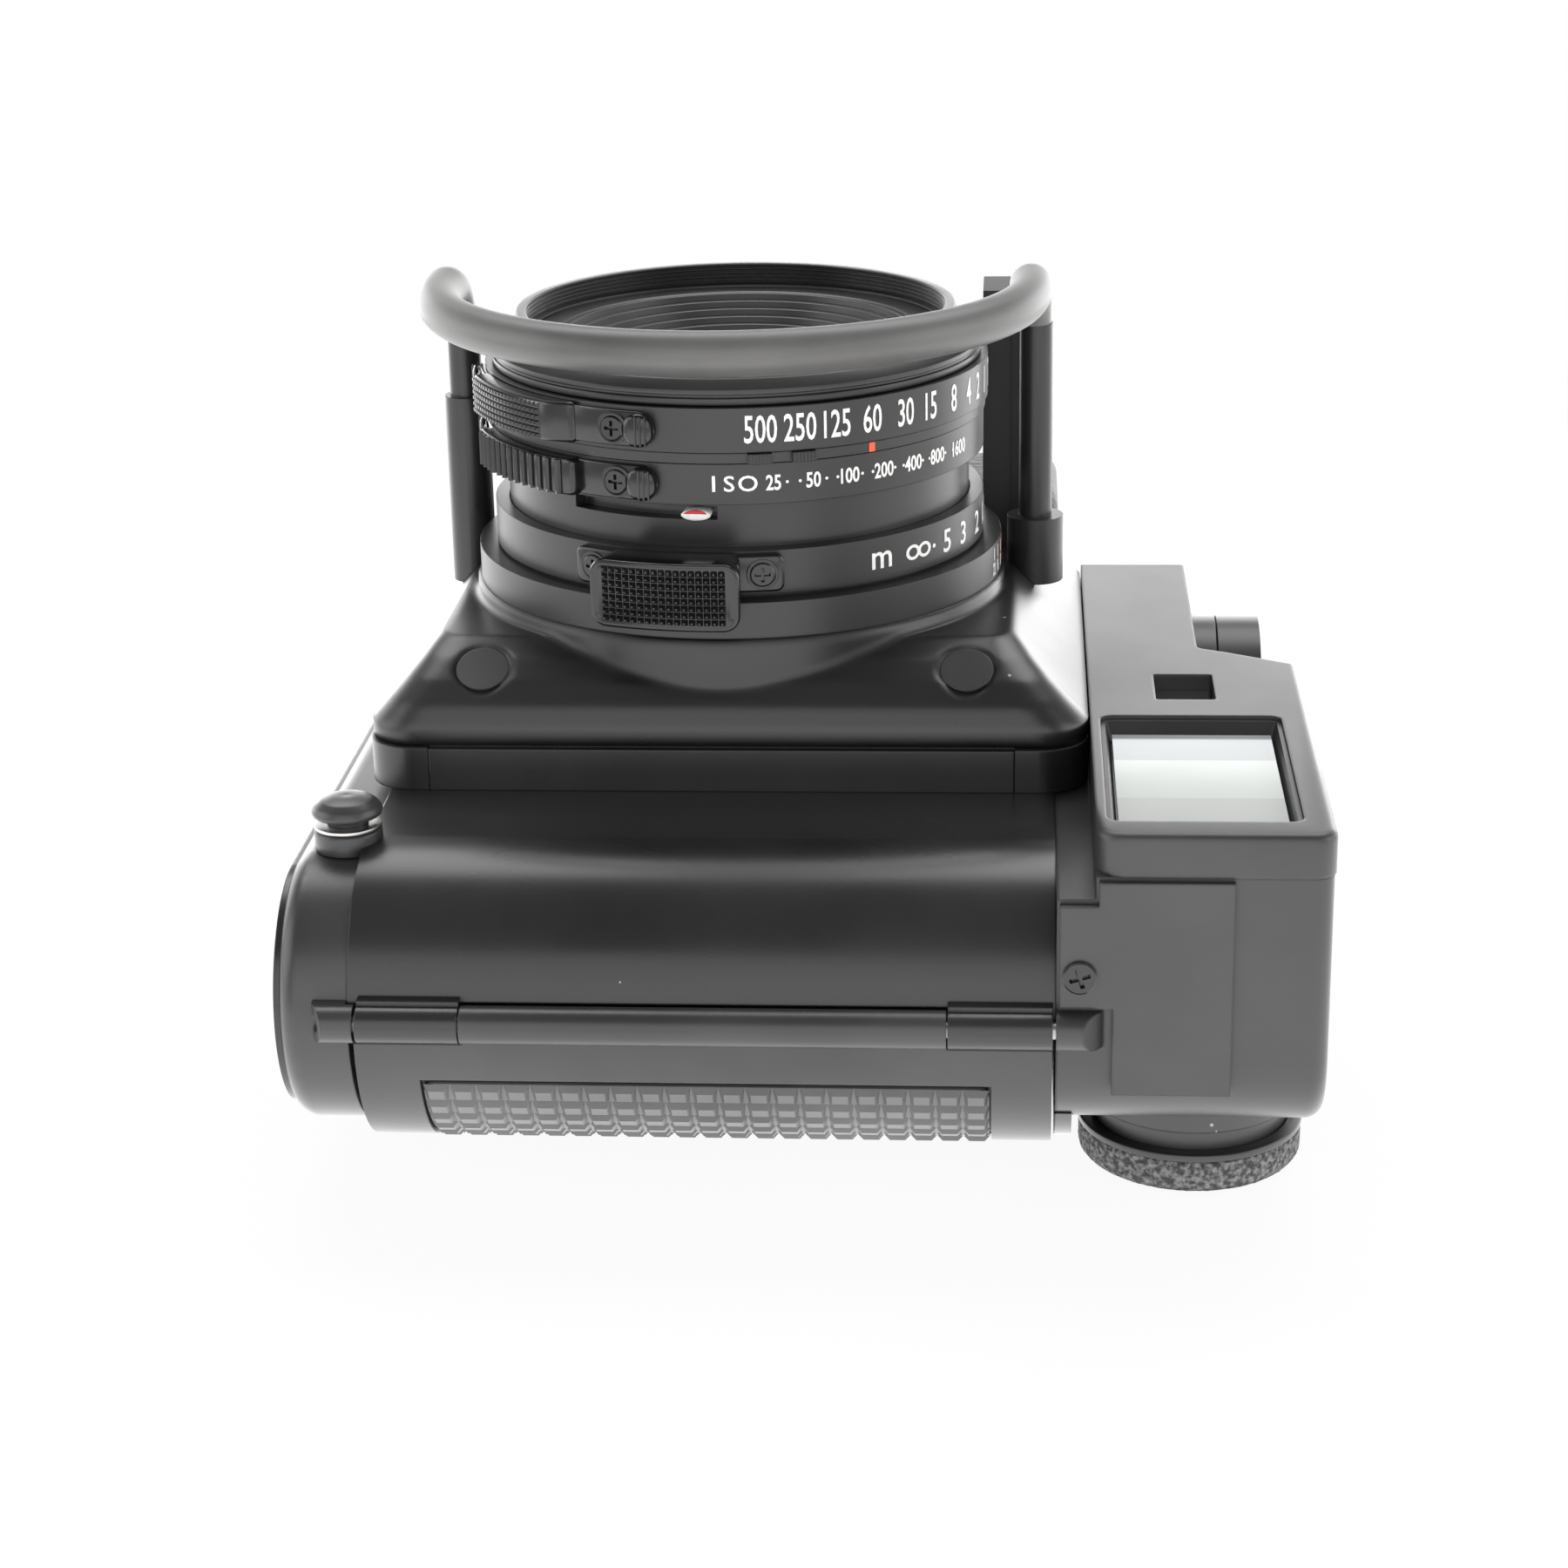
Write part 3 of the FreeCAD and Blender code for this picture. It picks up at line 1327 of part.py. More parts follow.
# Lens box, rear frame with its side panels
box_half_x = size("lens_box_half_width", 35)
box_low = casting_bottom - size("lens_box_drop", 2.8)
box_high = casting_top + size("lens_box_rise", 3.8)
box_depth = size("lens_box_depth", 5)
box_round = size("lens_box_corner", 5.5)
box_wall = size("lens_box_wall", 2.4)
panel_half = casting_height / 2 - size("box_panel_margin", 4.5)
panel_thickness = size("box_panel_thickness", 1.1)
frame_front = body_front - box_depth
frame_block = rounded(
    "FrameBlock",
    box("FrameSolid", (-box_half_x, box_half_x), (frame_front, body_front), (box_low, box_high)),
    box_round, Y_AXIS
)
frame_hollow = box(
    "FrameHollow", (-box_half_x + box_wall, box_half_x - box_wall), (frame_front, body_front - 1.2),
    (box_low + box_wall, box_high - box_wall),
)
frame_way = box(
    "FrameWay", (-gate_width / 2, gate_width / 2), (frame_front, body_front), (gate_low, gate_high)
)
panel_slots = []
panels = []
for side, label in ((1, "Near"), (-1, "Far")):
    outer = box_half_x * side
    inner = (box_half_x - panel_thickness) * side
    xs = (inner, outer) if side > 0 else (outer, inner)
    low, high = lens_height - panel_half, lens_height + panel_half
    panel_slots.append(
        box(f"PanelSlot{label}", xs, (frame_front, body_front), (low - panel_gap, high + panel_gap))
    )
    panels.append(box(f"Panel{label}", xs, (frame_front + panel_gap, body_front), (low, high)))
node("lens_box_frame", cut("LensBoxFrame", frame_block, frame_hollow, frame_way, *panel_slots))
node("lens_box_panels", group("LensBoxPanels", *panels))

# Lens box, front cone: flange, four-sided cone, square seat and round barrel
flange_depth = size("lens_flange_depth", 2)
flange_half_x = size("lens_flange_half_width", 34.1)
flange_front = frame_front - flange_depth
flange_low = box_low + size("flange_low_inset", 0.1)
cone_depth = size("cone_depth", 8.05)
cone_half_x = size("cone_top_half_width", 24.7)
cone_half_z = casting_height / 2 - size("cone_top_margin", 4.6)
cone_corner = size("cone_top_corner", 3.4)
base_ring_front = size("base_ring_front_y", -34.64)
base_ring_width = size("base_ring_width", 4.2)
base_ring_radius = size("base_ring_radius", 31.14)
focus_inner = size("focus_hub_radius", 28.5)
barrel_front = base_ring_front + base_ring_width
cone_top = flange_front - cone_depth
flange_block = rounded(
    "FlangeBlock", box(
        "FlangeSolid", (-flange_half_x, flange_half_x), (flange_front, frame_front - panel_gap),
        (flange_low, box_high),
    ),
    box_round, Y_AXIS,
)
flange_rise = box_high - lens_height
flange_half_z = (box_high - flange_low) / 2
flange_shift = (box_high + flange_low) / 2 - lens_height


def rounded_section(name, half_x, half_z, corner, y, level):
    """A rectangle with round corners across the lens axis, bound to the sheet."""
    sketch = doc.addObject("Sketcher::SketchObject", name)
    half_x, half_z, corner = as_size(half_x), as_size(half_z), as_size(corner)
    inner_x, inner_z = half_x - corner, half_z - corner
    corners = [
        (half_x, -inner_z), (half_x, inner_z), (inner_x, half_z), (-inner_x, half_z),
        (-half_x, inner_z), (-half_x, -inner_z), (-inner_x, -half_z), (inner_x, -half_z),
    ]
    places = [FreeCAD.Vector(across.value, up.value, 0) for across, up in corners]
    for index in range(0, 8, 2):
        sketch.addGeometry(Part.LineSegment(places[index], places[index + 1]), False)
    for index, turn in enumerate((0, 90, 180, 270)):
        centre = FreeCAD.Vector(
            inner_x.value * (1 if turn in (0, 270) else -1),
            inner_z.value * (1 if turn in (0, 90) else -1), 0
        )
        circle = Part.Circle(centre, Z_AXIS, corner.value)
        start, end = math.radians(turn), math.radians(turn + 90)
        sketch.addGeometry(Part.ArcOfCircle(circle, start, end), False)
    for index in range(4):
        sketch.addConstraint(Sketcher.Constraint("Coincident", index, 2, index + 4, 1))
        sketch.addConstraint(Sketcher.Constraint("Coincident", index + 4, 2, (index + 1) % 4, 1))
        for end in (0, 1):
            corner_at = corners[index * 2 + end]
            for kind, value in zip(("DistanceX", "DistanceY"), corner_at):
                number = sketch.addConstraint(Sketcher.Constraint(kind, -1, 1, index, end + 1, value.value))
                sketch.setExpression(f"Constraints[{number}]", value.text)
        number = sketch.addConstraint(Sketcher.Constraint("Radius", index + 4, corner.value))
        sketch.setExpression(f"Constraints[{number}]", corner.text)
    return place(sketch, (0, y, level), FreeCAD.Rotation(X_AXIS, 90))


cone_steps = (
    (0, 0, 0, 0),
    (0.19, 0.37, 0.19, 0.2),
    (0.43, 0.68, 0.43, 0.45),
    (0.69, 0.88, 0.69, 0.7),
    (1, 1, 1, 1),
)
cone_sections = []
for index, (down, out, along, turn) in enumerate(cone_steps):
    cone_sections.append(
        rounded_section(
            f"ConeSection{index}", cone_half_x + (flange_half_x - cone_half_x) * out,
            cone_half_z + (flange_half_z - cone_half_z) * along,
            cone_corner + (box_round - cone_corner) * turn,
            cone_top + cone_depth * down, lens_height + flange_shift * along,
        )
    )
doc.recompute()
cone_soft = doc.addObject("Part::Loft", "ConeSides")
cone_soft.Sections = cone_sections
cone_soft.Solid = True
cone_soft.Ruled = True
doc.recompute()
barrel_solid = rod(
    "BarrelSolid", "y", base_ring_radius + ledge, (0, lens_height),
    (barrel_front, frame_front - flange_depth)
)
barrel_bore = rod(
    "BarrelBore", "y", focus_inner + bore_gap, (0, lens_height),
    (base_ring_front - 10, flange_front - 4.5)
)
cone_hollow = doc.addObject("Part::Wedge", "ConeHollow")
hollow_margin = size("cone_hollow_margin", 3.2)
cone_skin = size("cone_front_skin", 1.8)
bind(
    cone_hollow,
    Ymin=cone_skin, Ymax=cone_depth + flange_depth, Xmin=-gate_width / 2, Xmax=gate_width / 2,
    Zmin=-gate_height / 2, Zmax=gate_height / 2,
    X2min=-flange_half_x + hollow_margin, X2max=flange_half_x - hollow_margin,
    Z2min=-flange_rise + hollow_margin + 1, Z2max=flange_rise - hollow_margin,
)
place(cone_hollow, (0, cone_top, lens_height))
plug_radius = size("plug_radius", 3)
plug_depth = size("plug_depth", 1.4)
plug_low = box_low + size("plug_low_rise", 13)
plug_high = box_high - size("plug_high_drop", 13.6)
plug_y = size("plug_y", -26.5)
wall_tilt = size("plug_tilt", 57.2)
plug_step, next_step = cone_steps[1], cone_steps[2]
plug_slope = (next_step[1] - plug_step[1]) / (next_step[0] - plug_step[0])
plug_holes = []
plugs = []
for index, (side, level) in enumerate(((1, plug_low), (1, plug_high), (-1, plug_low), (-1, plug_high))):
    for kind, radius, listing in (
        ("Hole", plug_radius + seat_gap, plug_holes), ("Disc", plug_radius, plugs)
    ):
        thing = doc.addObject("Part::Cylinder", f"Plug{kind}{index}")
        rise = 0.0 if kind == "Disc" else 3.0
        bind(thing, Radius=radius, Height=plug_depth + rise)
        share = ((plug_y - cone_top) / cone_depth - plug_step[0]) * plug_slope + plug_step[1]
        wall_x = cone_half_x + (flange_half_x - cone_half_x) * share
        across = FreeCAD.Vector(
            side * math.cos(math.radians(wall_tilt.value)), -math.sin(math.radians(wall_tilt.value)), 0
        )
        inset = float(plug_depth)
        base = FreeCAD.Vector(side * float(wall_x), float(plug_y), float(level)) - across * inset
        thing.Placement = FreeCAD.Placement(base, FreeCAD.Rotation(Z_AXIS, across))
        listing.append(thing)
cone_full = fuse("ConeFull", flange_block, cone_soft, barrel_solid)
node("lens_box_cone", cut("LensBoxCone", cone_full, barrel_bore, cone_hollow, *plug_holes))
node("lens_box_plugs", group("LensBoxPlugs", *plugs))

# Fixed scale ring and the focusing ring
focus_front = size("focus_ring_front_y", -40)
focus_radius = size("focus_ring_radius", 29)
focus_back = size("focus_hub_back_y", -29)
tube_shoulder_radius = size("barrel_radius", 27.3)
node(
    "base_ring",
    turned(
        "BaseRing",
        [
            (focus_inner + bore_gap, base_ring_front),
            (base_ring_radius, base_ring_front),
            (base_ring_radius, barrel_front),
            (focus_inner + bore_gap, barrel_front),
        ],
    ),
)
focus_bore = tube_shoulder_radius + 0.12
node(
    "focus_ring",
    turned(
        "FocusRing",
        [
            (focus_bore, focus_front),
            (focus_radius, focus_front),
            (focus_radius, base_ring_front - part_gap),
            (focus_inner, base_ring_front - part_gap),
            (focus_inner, focus_back),
            (focus_bore, focus_back),
        ],
    ),
)


def ring_sector(name, inner, outer, ys, start, end):
    """A block bent round the lens axis between two angles, from +X towards +Z."""
    thing = doc.addObject("Part::Cylinder", name + "Outer")
    low, high = as_size(ys[0]), as_size(ys[1])
    bind(thing, Radius=outer, Height=high - low, Angle=end - start)
    hole = doc.addObject("Part::Cylinder", name + "Inner")
    bind(hole, Radius=inner, Height=high - low)
    for item in (thing, hole):
        turn = FreeCAD.Rotation(Y_AXIS, -end.value) * FreeCAD.Rotation(X_AXIS, -90)
        place(item, (0, low, lens_height), turn)
    return cut(name, thing, hole)


def radial_screws(name, radius, degrees, y, seat):
    """A small screw whose head stands on a ring, pointing outwards."""
    thing = doc.addObject("Part::Cylinder", name)
    bind(thing, Radius=seat, Height=screw_rise * 2)
    angle = math.radians(float(degrees))
    across = FreeCAD.Vector(math.cos(angle), 0, math.sin(angle))
    base = FreeCAD.Vector(0, float(y), float(lens_height)) + across * float(radius)
    thing.Placement = FreeCAD.Placement(base, FreeCAD.Rotation(Z_AXIS, across))
    return thing


# Focusing tab: a block on two ears
tab_mid = size("focus_tab_angle", -9.5)
tab_half = size("focus_tab_half_angle", 14)
ear_half = size("focus_ear_half_angle", 23.5)
ear_rise = size("focus_ear_rise", 1.3)
tab_radius = size("focus_tab_radius", 36)
tab_back = size("focus_tab_back_y", -32.6)
tab_front = size("focus_tab_front_y", -40.4)
focus_ears = ring_sector(
    "FocusEars", focus_radius + seat_gap, focus_radius + ear_rise,
    (focus_front + small_step, base_ring_front - 0.9), tab_mid - ear_half, tab_mid + ear_half
)
focus_stem = ring_sector(
    "FocusStem", focus_radius + seat_gap, base_ring_radius + 2.2,
    (tab_front, base_ring_front - 0.9), tab_mid - tab_half, tab_mid + tab_half
)
focus_block = ring_sector(
    "FocusBlock", base_ring_radius + deep_step, tab_radius, (tab_front, tab_back), tab_mid - tab_half,
    tab_mid + tab_half
)
node("focus_tab", fuse("FocusTab", focus_ears, focus_stem, focus_block))
ear_screw = tab_half + (ear_half - tab_half) / 2
node(
    "focus_tab_screws",
    group(
        "FocusTabScrews",
        radial_screws(
            "FocusScrewLow", focus_radius + ear_rise, tab_mid - ear_screw,
            (focus_front + base_ring_front) / 2 - part_gap, small_screw,
        ),
        radial_screws(
            "FocusScrewHigh", focus_radius + ear_rise, tab_mid + ear_screw,
            (focus_front + base_ring_front) / 2 - part_gap, small_screw,
        ),
    ),
)

# Moving lens tube and what rides on it
tube_radius = size("lens_tube_radius", 25)
tube_bore = size("lens_tube_bore", 21)
tube_front = size("lens_tube_front_y", -58)
tube_back_y = size("lens_tube_back_y", -31.5)
rear_glass_radius = size("rear_glass_radius", 14)
rear_cell_front = size("rear_cell_front_y", -35)
front_length = size("front_barrel_length", 5.55)
speed_width = size("speed_ring_width", 5)
index_width = size("index_ring_width", 1.15)
exposure_width = size("exposure_ring_width", 4.6)
speed_front = rim_y + front_length + ring_gap
speed_back = speed_front + speed_width
index_front = speed_back + ring_gap
index_back = index_front + index_width
exposure_front = index_back + ring_gap
exposure_back = exposure_front + exposure_width
shoulder_front = exposure_back + ring_gap
tube_blank = turned(
    "LensTubeTurned",
    [
        (tube_bore, tube_front),
        (tube_radius, tube_front),
        (tube_radius, shoulder_front),
        (tube_shoulder_radius, shoulder_front),
        (tube_shoulder_radius, tube_back_y),
        (rear_glass_radius + seat_gap, tube_back_y),
        (rear_glass_radius + seat_gap, rear_cell_front),
        (tube_bore, rear_cell_front),
    ],
)
selector_start = size("selector_slot_start", -38)
selector_end = size("selector_slot_end", -0.5)
selector_y0 = shoulder_front + half_step
selector_width = size("selector_slot_width", 1.5)
selector_inner = size("selector_slot_floor_radius", 25.6)
slot_sector = ring_sector(
    "SelectorSlot", selector_inner, tube_shoulder_radius + 1,
    (selector_y0, selector_y0 + selector_width), selector_start, selector_end
)
node("lens_tube", cut("LensTube", tube_blank, slot_sector))
knob_angle = size("selector_knob_angle", -5.2)
knob_half = size("selector_knob_half_angle", 3.6)
node(
    "sync_selector",
    ring_sector(
        "SyncSelector", selector_inner + running, tube_shoulder_radius + 1.2,
        (selector_y0 + panel_gap, selector_y0 + selector_width - panel_gap), knob_angle - knob_half,
        knob_angle + knob_half
    ),
)
rim_radius = size("front_rim_radius", 25.75)
front_radius = size("front_barrel_radius", 28.7)
thread_radius = size("filter_thread_radius", 24.5)
thread_depth = size("filter_thread_depth", 2.6)
name_seat_radius = size("name_seat_radius", 24)
node(
    "front_barrel",
    turned(
        "FrontBarrel",
        [
            (thread_radius, rim_y),
            (rim_radius, rim_y),
            (rim_radius, rim_y + 1),
            (front_radius - 1.1, rim_y + 2.8),
            (front_radius, rim_y + 3.8),
            (front_radius, rim_y + front_length),
            (tube_radius + seat_gap, rim_y + front_length),
            (tube_radius + seat_gap, tube_front),
            (name_seat_radius, tube_front),
            (name_seat_radius, rim_y + thread_depth),
            (thread_radius, rim_y + thread_depth),
        ],
    ),
)
glass_radius = size("front_glass_radius", 12.2)
name_front = rim_y + thread_depth + size("name_ring_drop", 0.2)
cone_back = size("front_cone_back_y", -52.3)
node(
    "name_ring",
    turned(
        "NameRing",
        [
            (name_seat_radius - panel_gap, name_front),
            (name_seat_radius - panel_gap, tube_front - seat_gap),
            (tube_bore - panel_gap, tube_front - seat_gap),
            (tube_bore - panel_gap, cone_back),
            (glass_radius + seat_gap, cone_back),
            (glass_radius + seat_gap, cone_back - 1),
            (tube_bore - small_step, name_front),
        ],
    ),
)
glass_dome = size("front_glass_dome_radius", 34)
glass_front = cone_back - 3.2
front_ball = doc.addObject("Part::Sphere", "FrontGlassBall")
bind(front_ball, Radius=glass_dome)
place(front_ball, (0, glass_front + glass_dome, lens_height))
node(
    "front_element",
    common(
        "FrontElement",
        rod("FrontGlassRod", "y", glass_radius, (0, lens_height), (glass_front, cone_back + 1.5)),
        front_ball,
    ),
)
rear_ball = doc.addObject("Part::Sphere", "RearGlassBall")
rear_dome = size("rear_glass_dome_radius", 40)
rear_back = tube_back_y + deep_step
bind(rear_ball, Radius=rear_dome)
place(rear_ball, (0, rear_back - rear_dome, lens_height))
node(
    "rear_element",
    common(
        "RearElement",
        rod(
            "RearGlassRod", "y", rear_glass_radius, (0, lens_height),
            (rear_cell_front + panel_gap, rear_back),
        ),
        rear_ball,
    ),
)
blade_count = 5
blade_thickness = size("blade_thickness", 0.3)
blade_pitch = size("blade_pitch", 0.45)
blade_y = size("blade_front_y", -46)
iris_radius = size("iris_opening_radius", 7.5)
blades = []
for index in range(blade_count):
    start = Size(f"({index} * 72)", index * 72.0)
    low = blade_y + blade_pitch * index
    blades.append(
        ring_sector(
            f"Blade{index}", iris_radius, tube_bore - panel_gap, (low, low + blade_thickness), start,
            start + 110
        )
    )
node("iris_blades", group("IrisBlades", *blades))

# Control rings and their tabs
speed_radius = size("speed_ring_radius", 29.5)
index_radius = size("index_ring_radius", 29.2)
exposure_radius = size("exposure_ring_radius", 29)
ring_bore = tube_radius + running


def plain_ring(name, radius, front, back):
    return turned(name, [(ring_bore, front), (radius, front), (radius, back), (ring_bore, back)])


node("speed_ring", plain_ring("SpeedRing", speed_radius, speed_front, speed_back))
node("exposure_ring", plain_ring("ExposureRing", exposure_radius, exposure_front, exposure_back))
index_grip_rise = size("index_grip_rise", 0.7)
index_grips = [
    ring_sector(
        f"IndexGrip{number}", ring_bore + 1, index_radius + index_grip_rise, (index_front, index_back),
        as_size(centre - 2.6), as_size(centre + 2.6)
    )
    for number, centre in enumerate((9.3, 18.9))
]
node(
    "index_ring",
    fuse("IndexRing", plain_ring("IndexRingTurned", index_radius, index_front, index_back), *index_grips),
)
lever_tab_start = size("lever_tab_start", -70)
lever_tab_end = size("lever_tab_end", -32)
lever_ear_start = size("lever_ear_start", -86)
lever_ear_end = size("lever_ear_end", -13)
lever_tab_radius = size("lever_tab_radius", 31.5)
lever_ear_rise = size("lever_ear_rise", 0.6)


def lever_tab(name, ring_radius, front, back, tab_outer):
    ears_band = ring_sector(
        name + "Band", ring_radius + seat_gap, ring_radius + lever_ear_rise,
        (front + half_step, back - half_step), lever_ear_start, lever_ear_end
    )
    block = ring_sector(
        name + "Block", ring_radius + seat_gap, tab_outer, (front + part_gap, back - panel_gap),
        lever_tab_start,
        lever_tab_end,
    )
    return fuse(name, ears_band, block)


def lever_screws(name, ring_radius, front, back):
    middle_y = (front + back) / 2
    low = radial_screws(
        name + "Low", ring_radius + lever_ear_rise, (lever_ear_start + lever_tab_start) / 2, middle_y,
        small_screw,
    )
    high = radial_screws(
        name + "High", ring_radius + lever_ear_rise, (lever_ear_end + lever_tab_end) / 2, middle_y,
        small_screw,
    )
    return group(name, low, high)


node("speed_tab", lever_tab("SpeedTab", speed_radius, speed_front, speed_back, lever_tab_radius))
node("speed_tab_screws", lever_screws("SpeedTabScrews", speed_radius, speed_front, speed_back))
node(
    "exposure_tab",
    lever_tab("ExposureTab", exposure_radius, exposure_front, exposure_back, lever_tab_radius - ledge),
)
node(
    "exposure_tab_screws",
    lever_screws("ExposureTabScrews", exposure_radius, exposure_front, exposure_back)
)

# Guard: a rubber covered bow on two posts, and a stay beside the upper post
bow_y = size("bow_y", -63.5)
bow_radius = cone_half_z + size("bow_overhang", 1.8)
bow_tube = size("bow_tube_radius", 2.5)
bend_radius = size("bow_bend_radius", 5.5)
post_x = size("guard_post_x", -7.5)
leg_radius = size("guard_leg_radius", 2)
leg_spread = cone_half_z + size("guard_leg_overhang", 1.7)
leg_shift = size("guard_leg_shift", 0.8)
low_leg_end = size("low_leg_end_y", -49.5)
high_leg_end = size("high_leg_end_y", -34.5)
post_radius = size("guard_post_radius", 2.65)
foot_radius = size("guard_foot_radius", 3.4)
post_root = size("guard_post_root_y", -26.5)
bow_arc = doc.addObject("Part::Torus", "BowArc")
bind(bow_arc, Radius1=bow_radius, Radius2=bow_tube, Angle3=180)
place(
    bow_arc, (0, bow_y, lens_height),
    FreeCAD.Rotation(FreeCAD.Vector(0, 0, -1), FreeCAD.Vector(1, 0, 0), FreeCAD.Vector(0, -1, 0), "ZXY"),
)
bow_pieces = [bow_arc]
for sign, label in ((-1, "Low"), (1, "High")):
    level = lens_height + bow_radius * sign
    bow_pieces.append(rod(f"Bow{label}Run", "x", bow_tube, (bow_y, level), (post_x + bend_radius, 0)))
    bend = doc.addObject("Part::Torus", f"Bow{label}Bend")
    bind(bend, Radius1=bend_radius, Radius2=bow_tube, Angle3=90)
    place(
        bend, (post_x + bend_radius, bow_y + bend_radius, level),
        FreeCAD.Rotation(
            FreeCAD.Vector(-1, 0, 0), FreeCAD.Vector(0, -1, 0), FreeCAD.Vector(0, 0, 1), "ZXY"
        ),
    )
    bow_pieces.append(bend)
node("guard_bow", fuse("GuardBow", *bow_pieces))

leg_front = bow_y + bend_radius
low_level = lens_height - leg_spread + leg_shift
high_level = lens_height + leg_spread + leg_shift
cone_shape_tool = fuse("ConeShapeTool", flange_block, cone_soft)
low_post = fuse(
    "LowPost",
    rod("LowLeg", "y", leg_radius, (post_x, low_level), (leg_front, low_leg_end)),
    rod("LowSleeve", "y", post_radius, (post_x, low_level), (low_leg_end, post_root)),
)
high_post = fuse(
    "HighPost",
    rod("HighLeg", "y", leg_radius, (post_x, high_level), (leg_front, high_leg_end)),
    rod("HighFoot", "y", foot_radius, (post_x, high_level), (high_leg_end, post_root)),
)
node(
    "guard_posts",
    group(
        "GuardPosts", cut("LowPostCut", low_post, cone_shape_tool),
        cut("HighPostCut", high_post, cone_shape_tool),
    ),
)

# Stay beside the upper post: a flat wall and a narrow strip
stay_near_x = size("stay_near_x", -14)
stay_far_x = size("stay_far_x", -23)
stay_low = high_level - size("stay_drop", 6.4)
stay_high = stay_low + size("stay_thickness", 3.3)
stay_front = size("stay_front_y", -60.5)
strip_high = stay_high + size("stay_strip_thickness", 2.1)
strip_near = size("stay_strip_near_x", -15.5)
strip_front = size("stay_strip_front_y", -58.5)
stay_wall = box("StayWall", (stay_far_x, stay_near_x), (stay_front, post_root), (stay_low, stay_high))
stay_strip = box("StayStrip", (stay_far_x, strip_near), (strip_front, post_root), (stay_high, strip_high))
node("guard_stay", cut("GuardStay", fuse("StayWhole", stay_wall, stay_strip), cone_shape_tool))

# Back door: rear halves of the chamber walls with its long middle knuckle
door_low = casting_bottom + free_gap * 2
door_high = casting_top - free_gap
door_gap = size("door_edge_gap", 0.3)
door_front = split_y + door_gap
pad_recess = size("pad_recess", 0.9)
door_radius = chamber_radius + size("door_proud", 0.7)
door_outer = stadium("DoorOuter", door_radius, chamber_x, chamber_y, (door_low, door_high))
door_hollow = stadium("DoorHollow", inner_radius, chamber_x, chamber_y, (door_low, door_high))
door_front_space = box(
    "DoorFrontSpace", (-beyond, beyond), (body_front - 1, door_front), (0, hump_z)
)
door_clean = doc.addObject("Part::Refine", "DoorClean")
door_clean.Source = cut("DoorShell", door_outer, door_hollow, door_front_space)
low_knuckle_sweep = rod(
    "LowKnuckleSweep", "z", hinge_radius + free_gap, (hinge_x, hinge_y), (0, door_knuckle_low)
)
high_knuckle_sweep = rod(
    "HighKnuckleSweep", "z", hinge_radius + free_gap, (hinge_x, hinge_y), (door_knuckle_high, hump_z)
)
door_knuckle_barrel = rod(
    "DoorKnuckle", "z", hinge_radius, (hinge_x, hinge_y), (door_knuckle_low, door_knuckle_high)
)
door_web = box(
    "DoorWeb", (chamber_x + chamber_radius - body_wall + half_step, hinge_x),
    (door_front, door_front + hinge_radius), (
        door_knuckle_low, door_knuckle_high
    )
)
latch_low = lens_height - size("latch_drop", 7.5)
latch_length = size("latch_length", 11)
latch_travel = size("latch_travel", 5)
latch_y = size("latch_y", 1.6)
latch_width = size("latch_width", 5.4)
latch_depth = size("latch_depth", 1.1)
latch_rise = size("latch_rise", 0.7)
far_face = -chamber_x - door_radius
latch_pocket = box(
    "LatchPocket", (far_face - 1, far_face + latch_depth),
    (latch_y - slip_gap, latch_y + latch_width + slip_gap),
    (latch_low - ledge, latch_low + latch_length + latch_travel + ledge),
)
pad_low = casting_bottom + size("grip_pad_rise", 7.5)
pad_high = casting_top - size("grip_pad_drop", 6.8)
pad_start = size("grip_pad_start_angle", 17.2)
pad_slack = size("grip_pad_slack_angle", 2.6)
pad_end = size("grip_pad_end_angle", 80)
pad_proud = size("grip_pad_proud", 0.25)


def door_sector(name, inner, outer, zs, start, end):
    """A curved strip about the supply chamber's axis, between two angles from +X towards +Y."""
    low, high = as_size(zs[0]), as_size(zs[1])
    whole = doc.addObject("Part::Cylinder", name + "Outer")
    bind(whole, Radius=outer, Height=high - low, Angle=end - start)
    place(whole, (chamber_x, chamber_y, low), FreeCAD.Rotation(Z_AXIS, start.value))
    hole = rod(name + "Inner", "z", inner, (chamber_x, chamber_y), (low, high))
    return cut(name, whole, hole)


pad_floor = door_radius - pad_recess
pad_pocket = door_sector(
    "PadPocket", pad_floor, door_radius + 2, (pad_low - panel_gap, pad_high + panel_gap),
    pad_start - ledge, pad_end + ledge
)
plate_half_x = size("pressure_plate_half_width", 27)
plate_half_z = casting_height / 2 - size("pressure_plate_margin", 2.3)
plate_travel = size("pressure_plate_travel", 1.6)
plate_thickness = size("pressure_plate_thickness", 1.5)
plate_y = gate_y + rail_height + 0.35
plate_main = box(
    "PressurePlateMain", (-plate_half_x, plate_half_x), (plate_y, plate_y + plate_thickness),
    (lens_height - plate_half_z, lens_height + plate_half_z),
)
guide_radius = size("plate_guide_radius", 2)
guide_x = size("plate_guide_x", 15)
door_inside = chamber_y + inner_radius
plate_guides = [
    rod(
        f"PlateGuide{number}", "y", guide_radius, (across, lens_height),
        (plate_y + plate_thickness + plate_travel + small_step, door_inside + half_step),
    )
    for number, across in enumerate((-guide_x, guide_x))
]
node(
    "back_door",
    cut(
        "BackDoor",
        fuse(
            "DoorWhole", cut("DoorLeaf", door_clean, low_knuckle_sweep, high_knuckle_sweep),
            door_knuckle_barrel, door_web,
            *plate_guides,
        ),
        latch_pocket, pad_pocket, pin_hole,
    ),
)
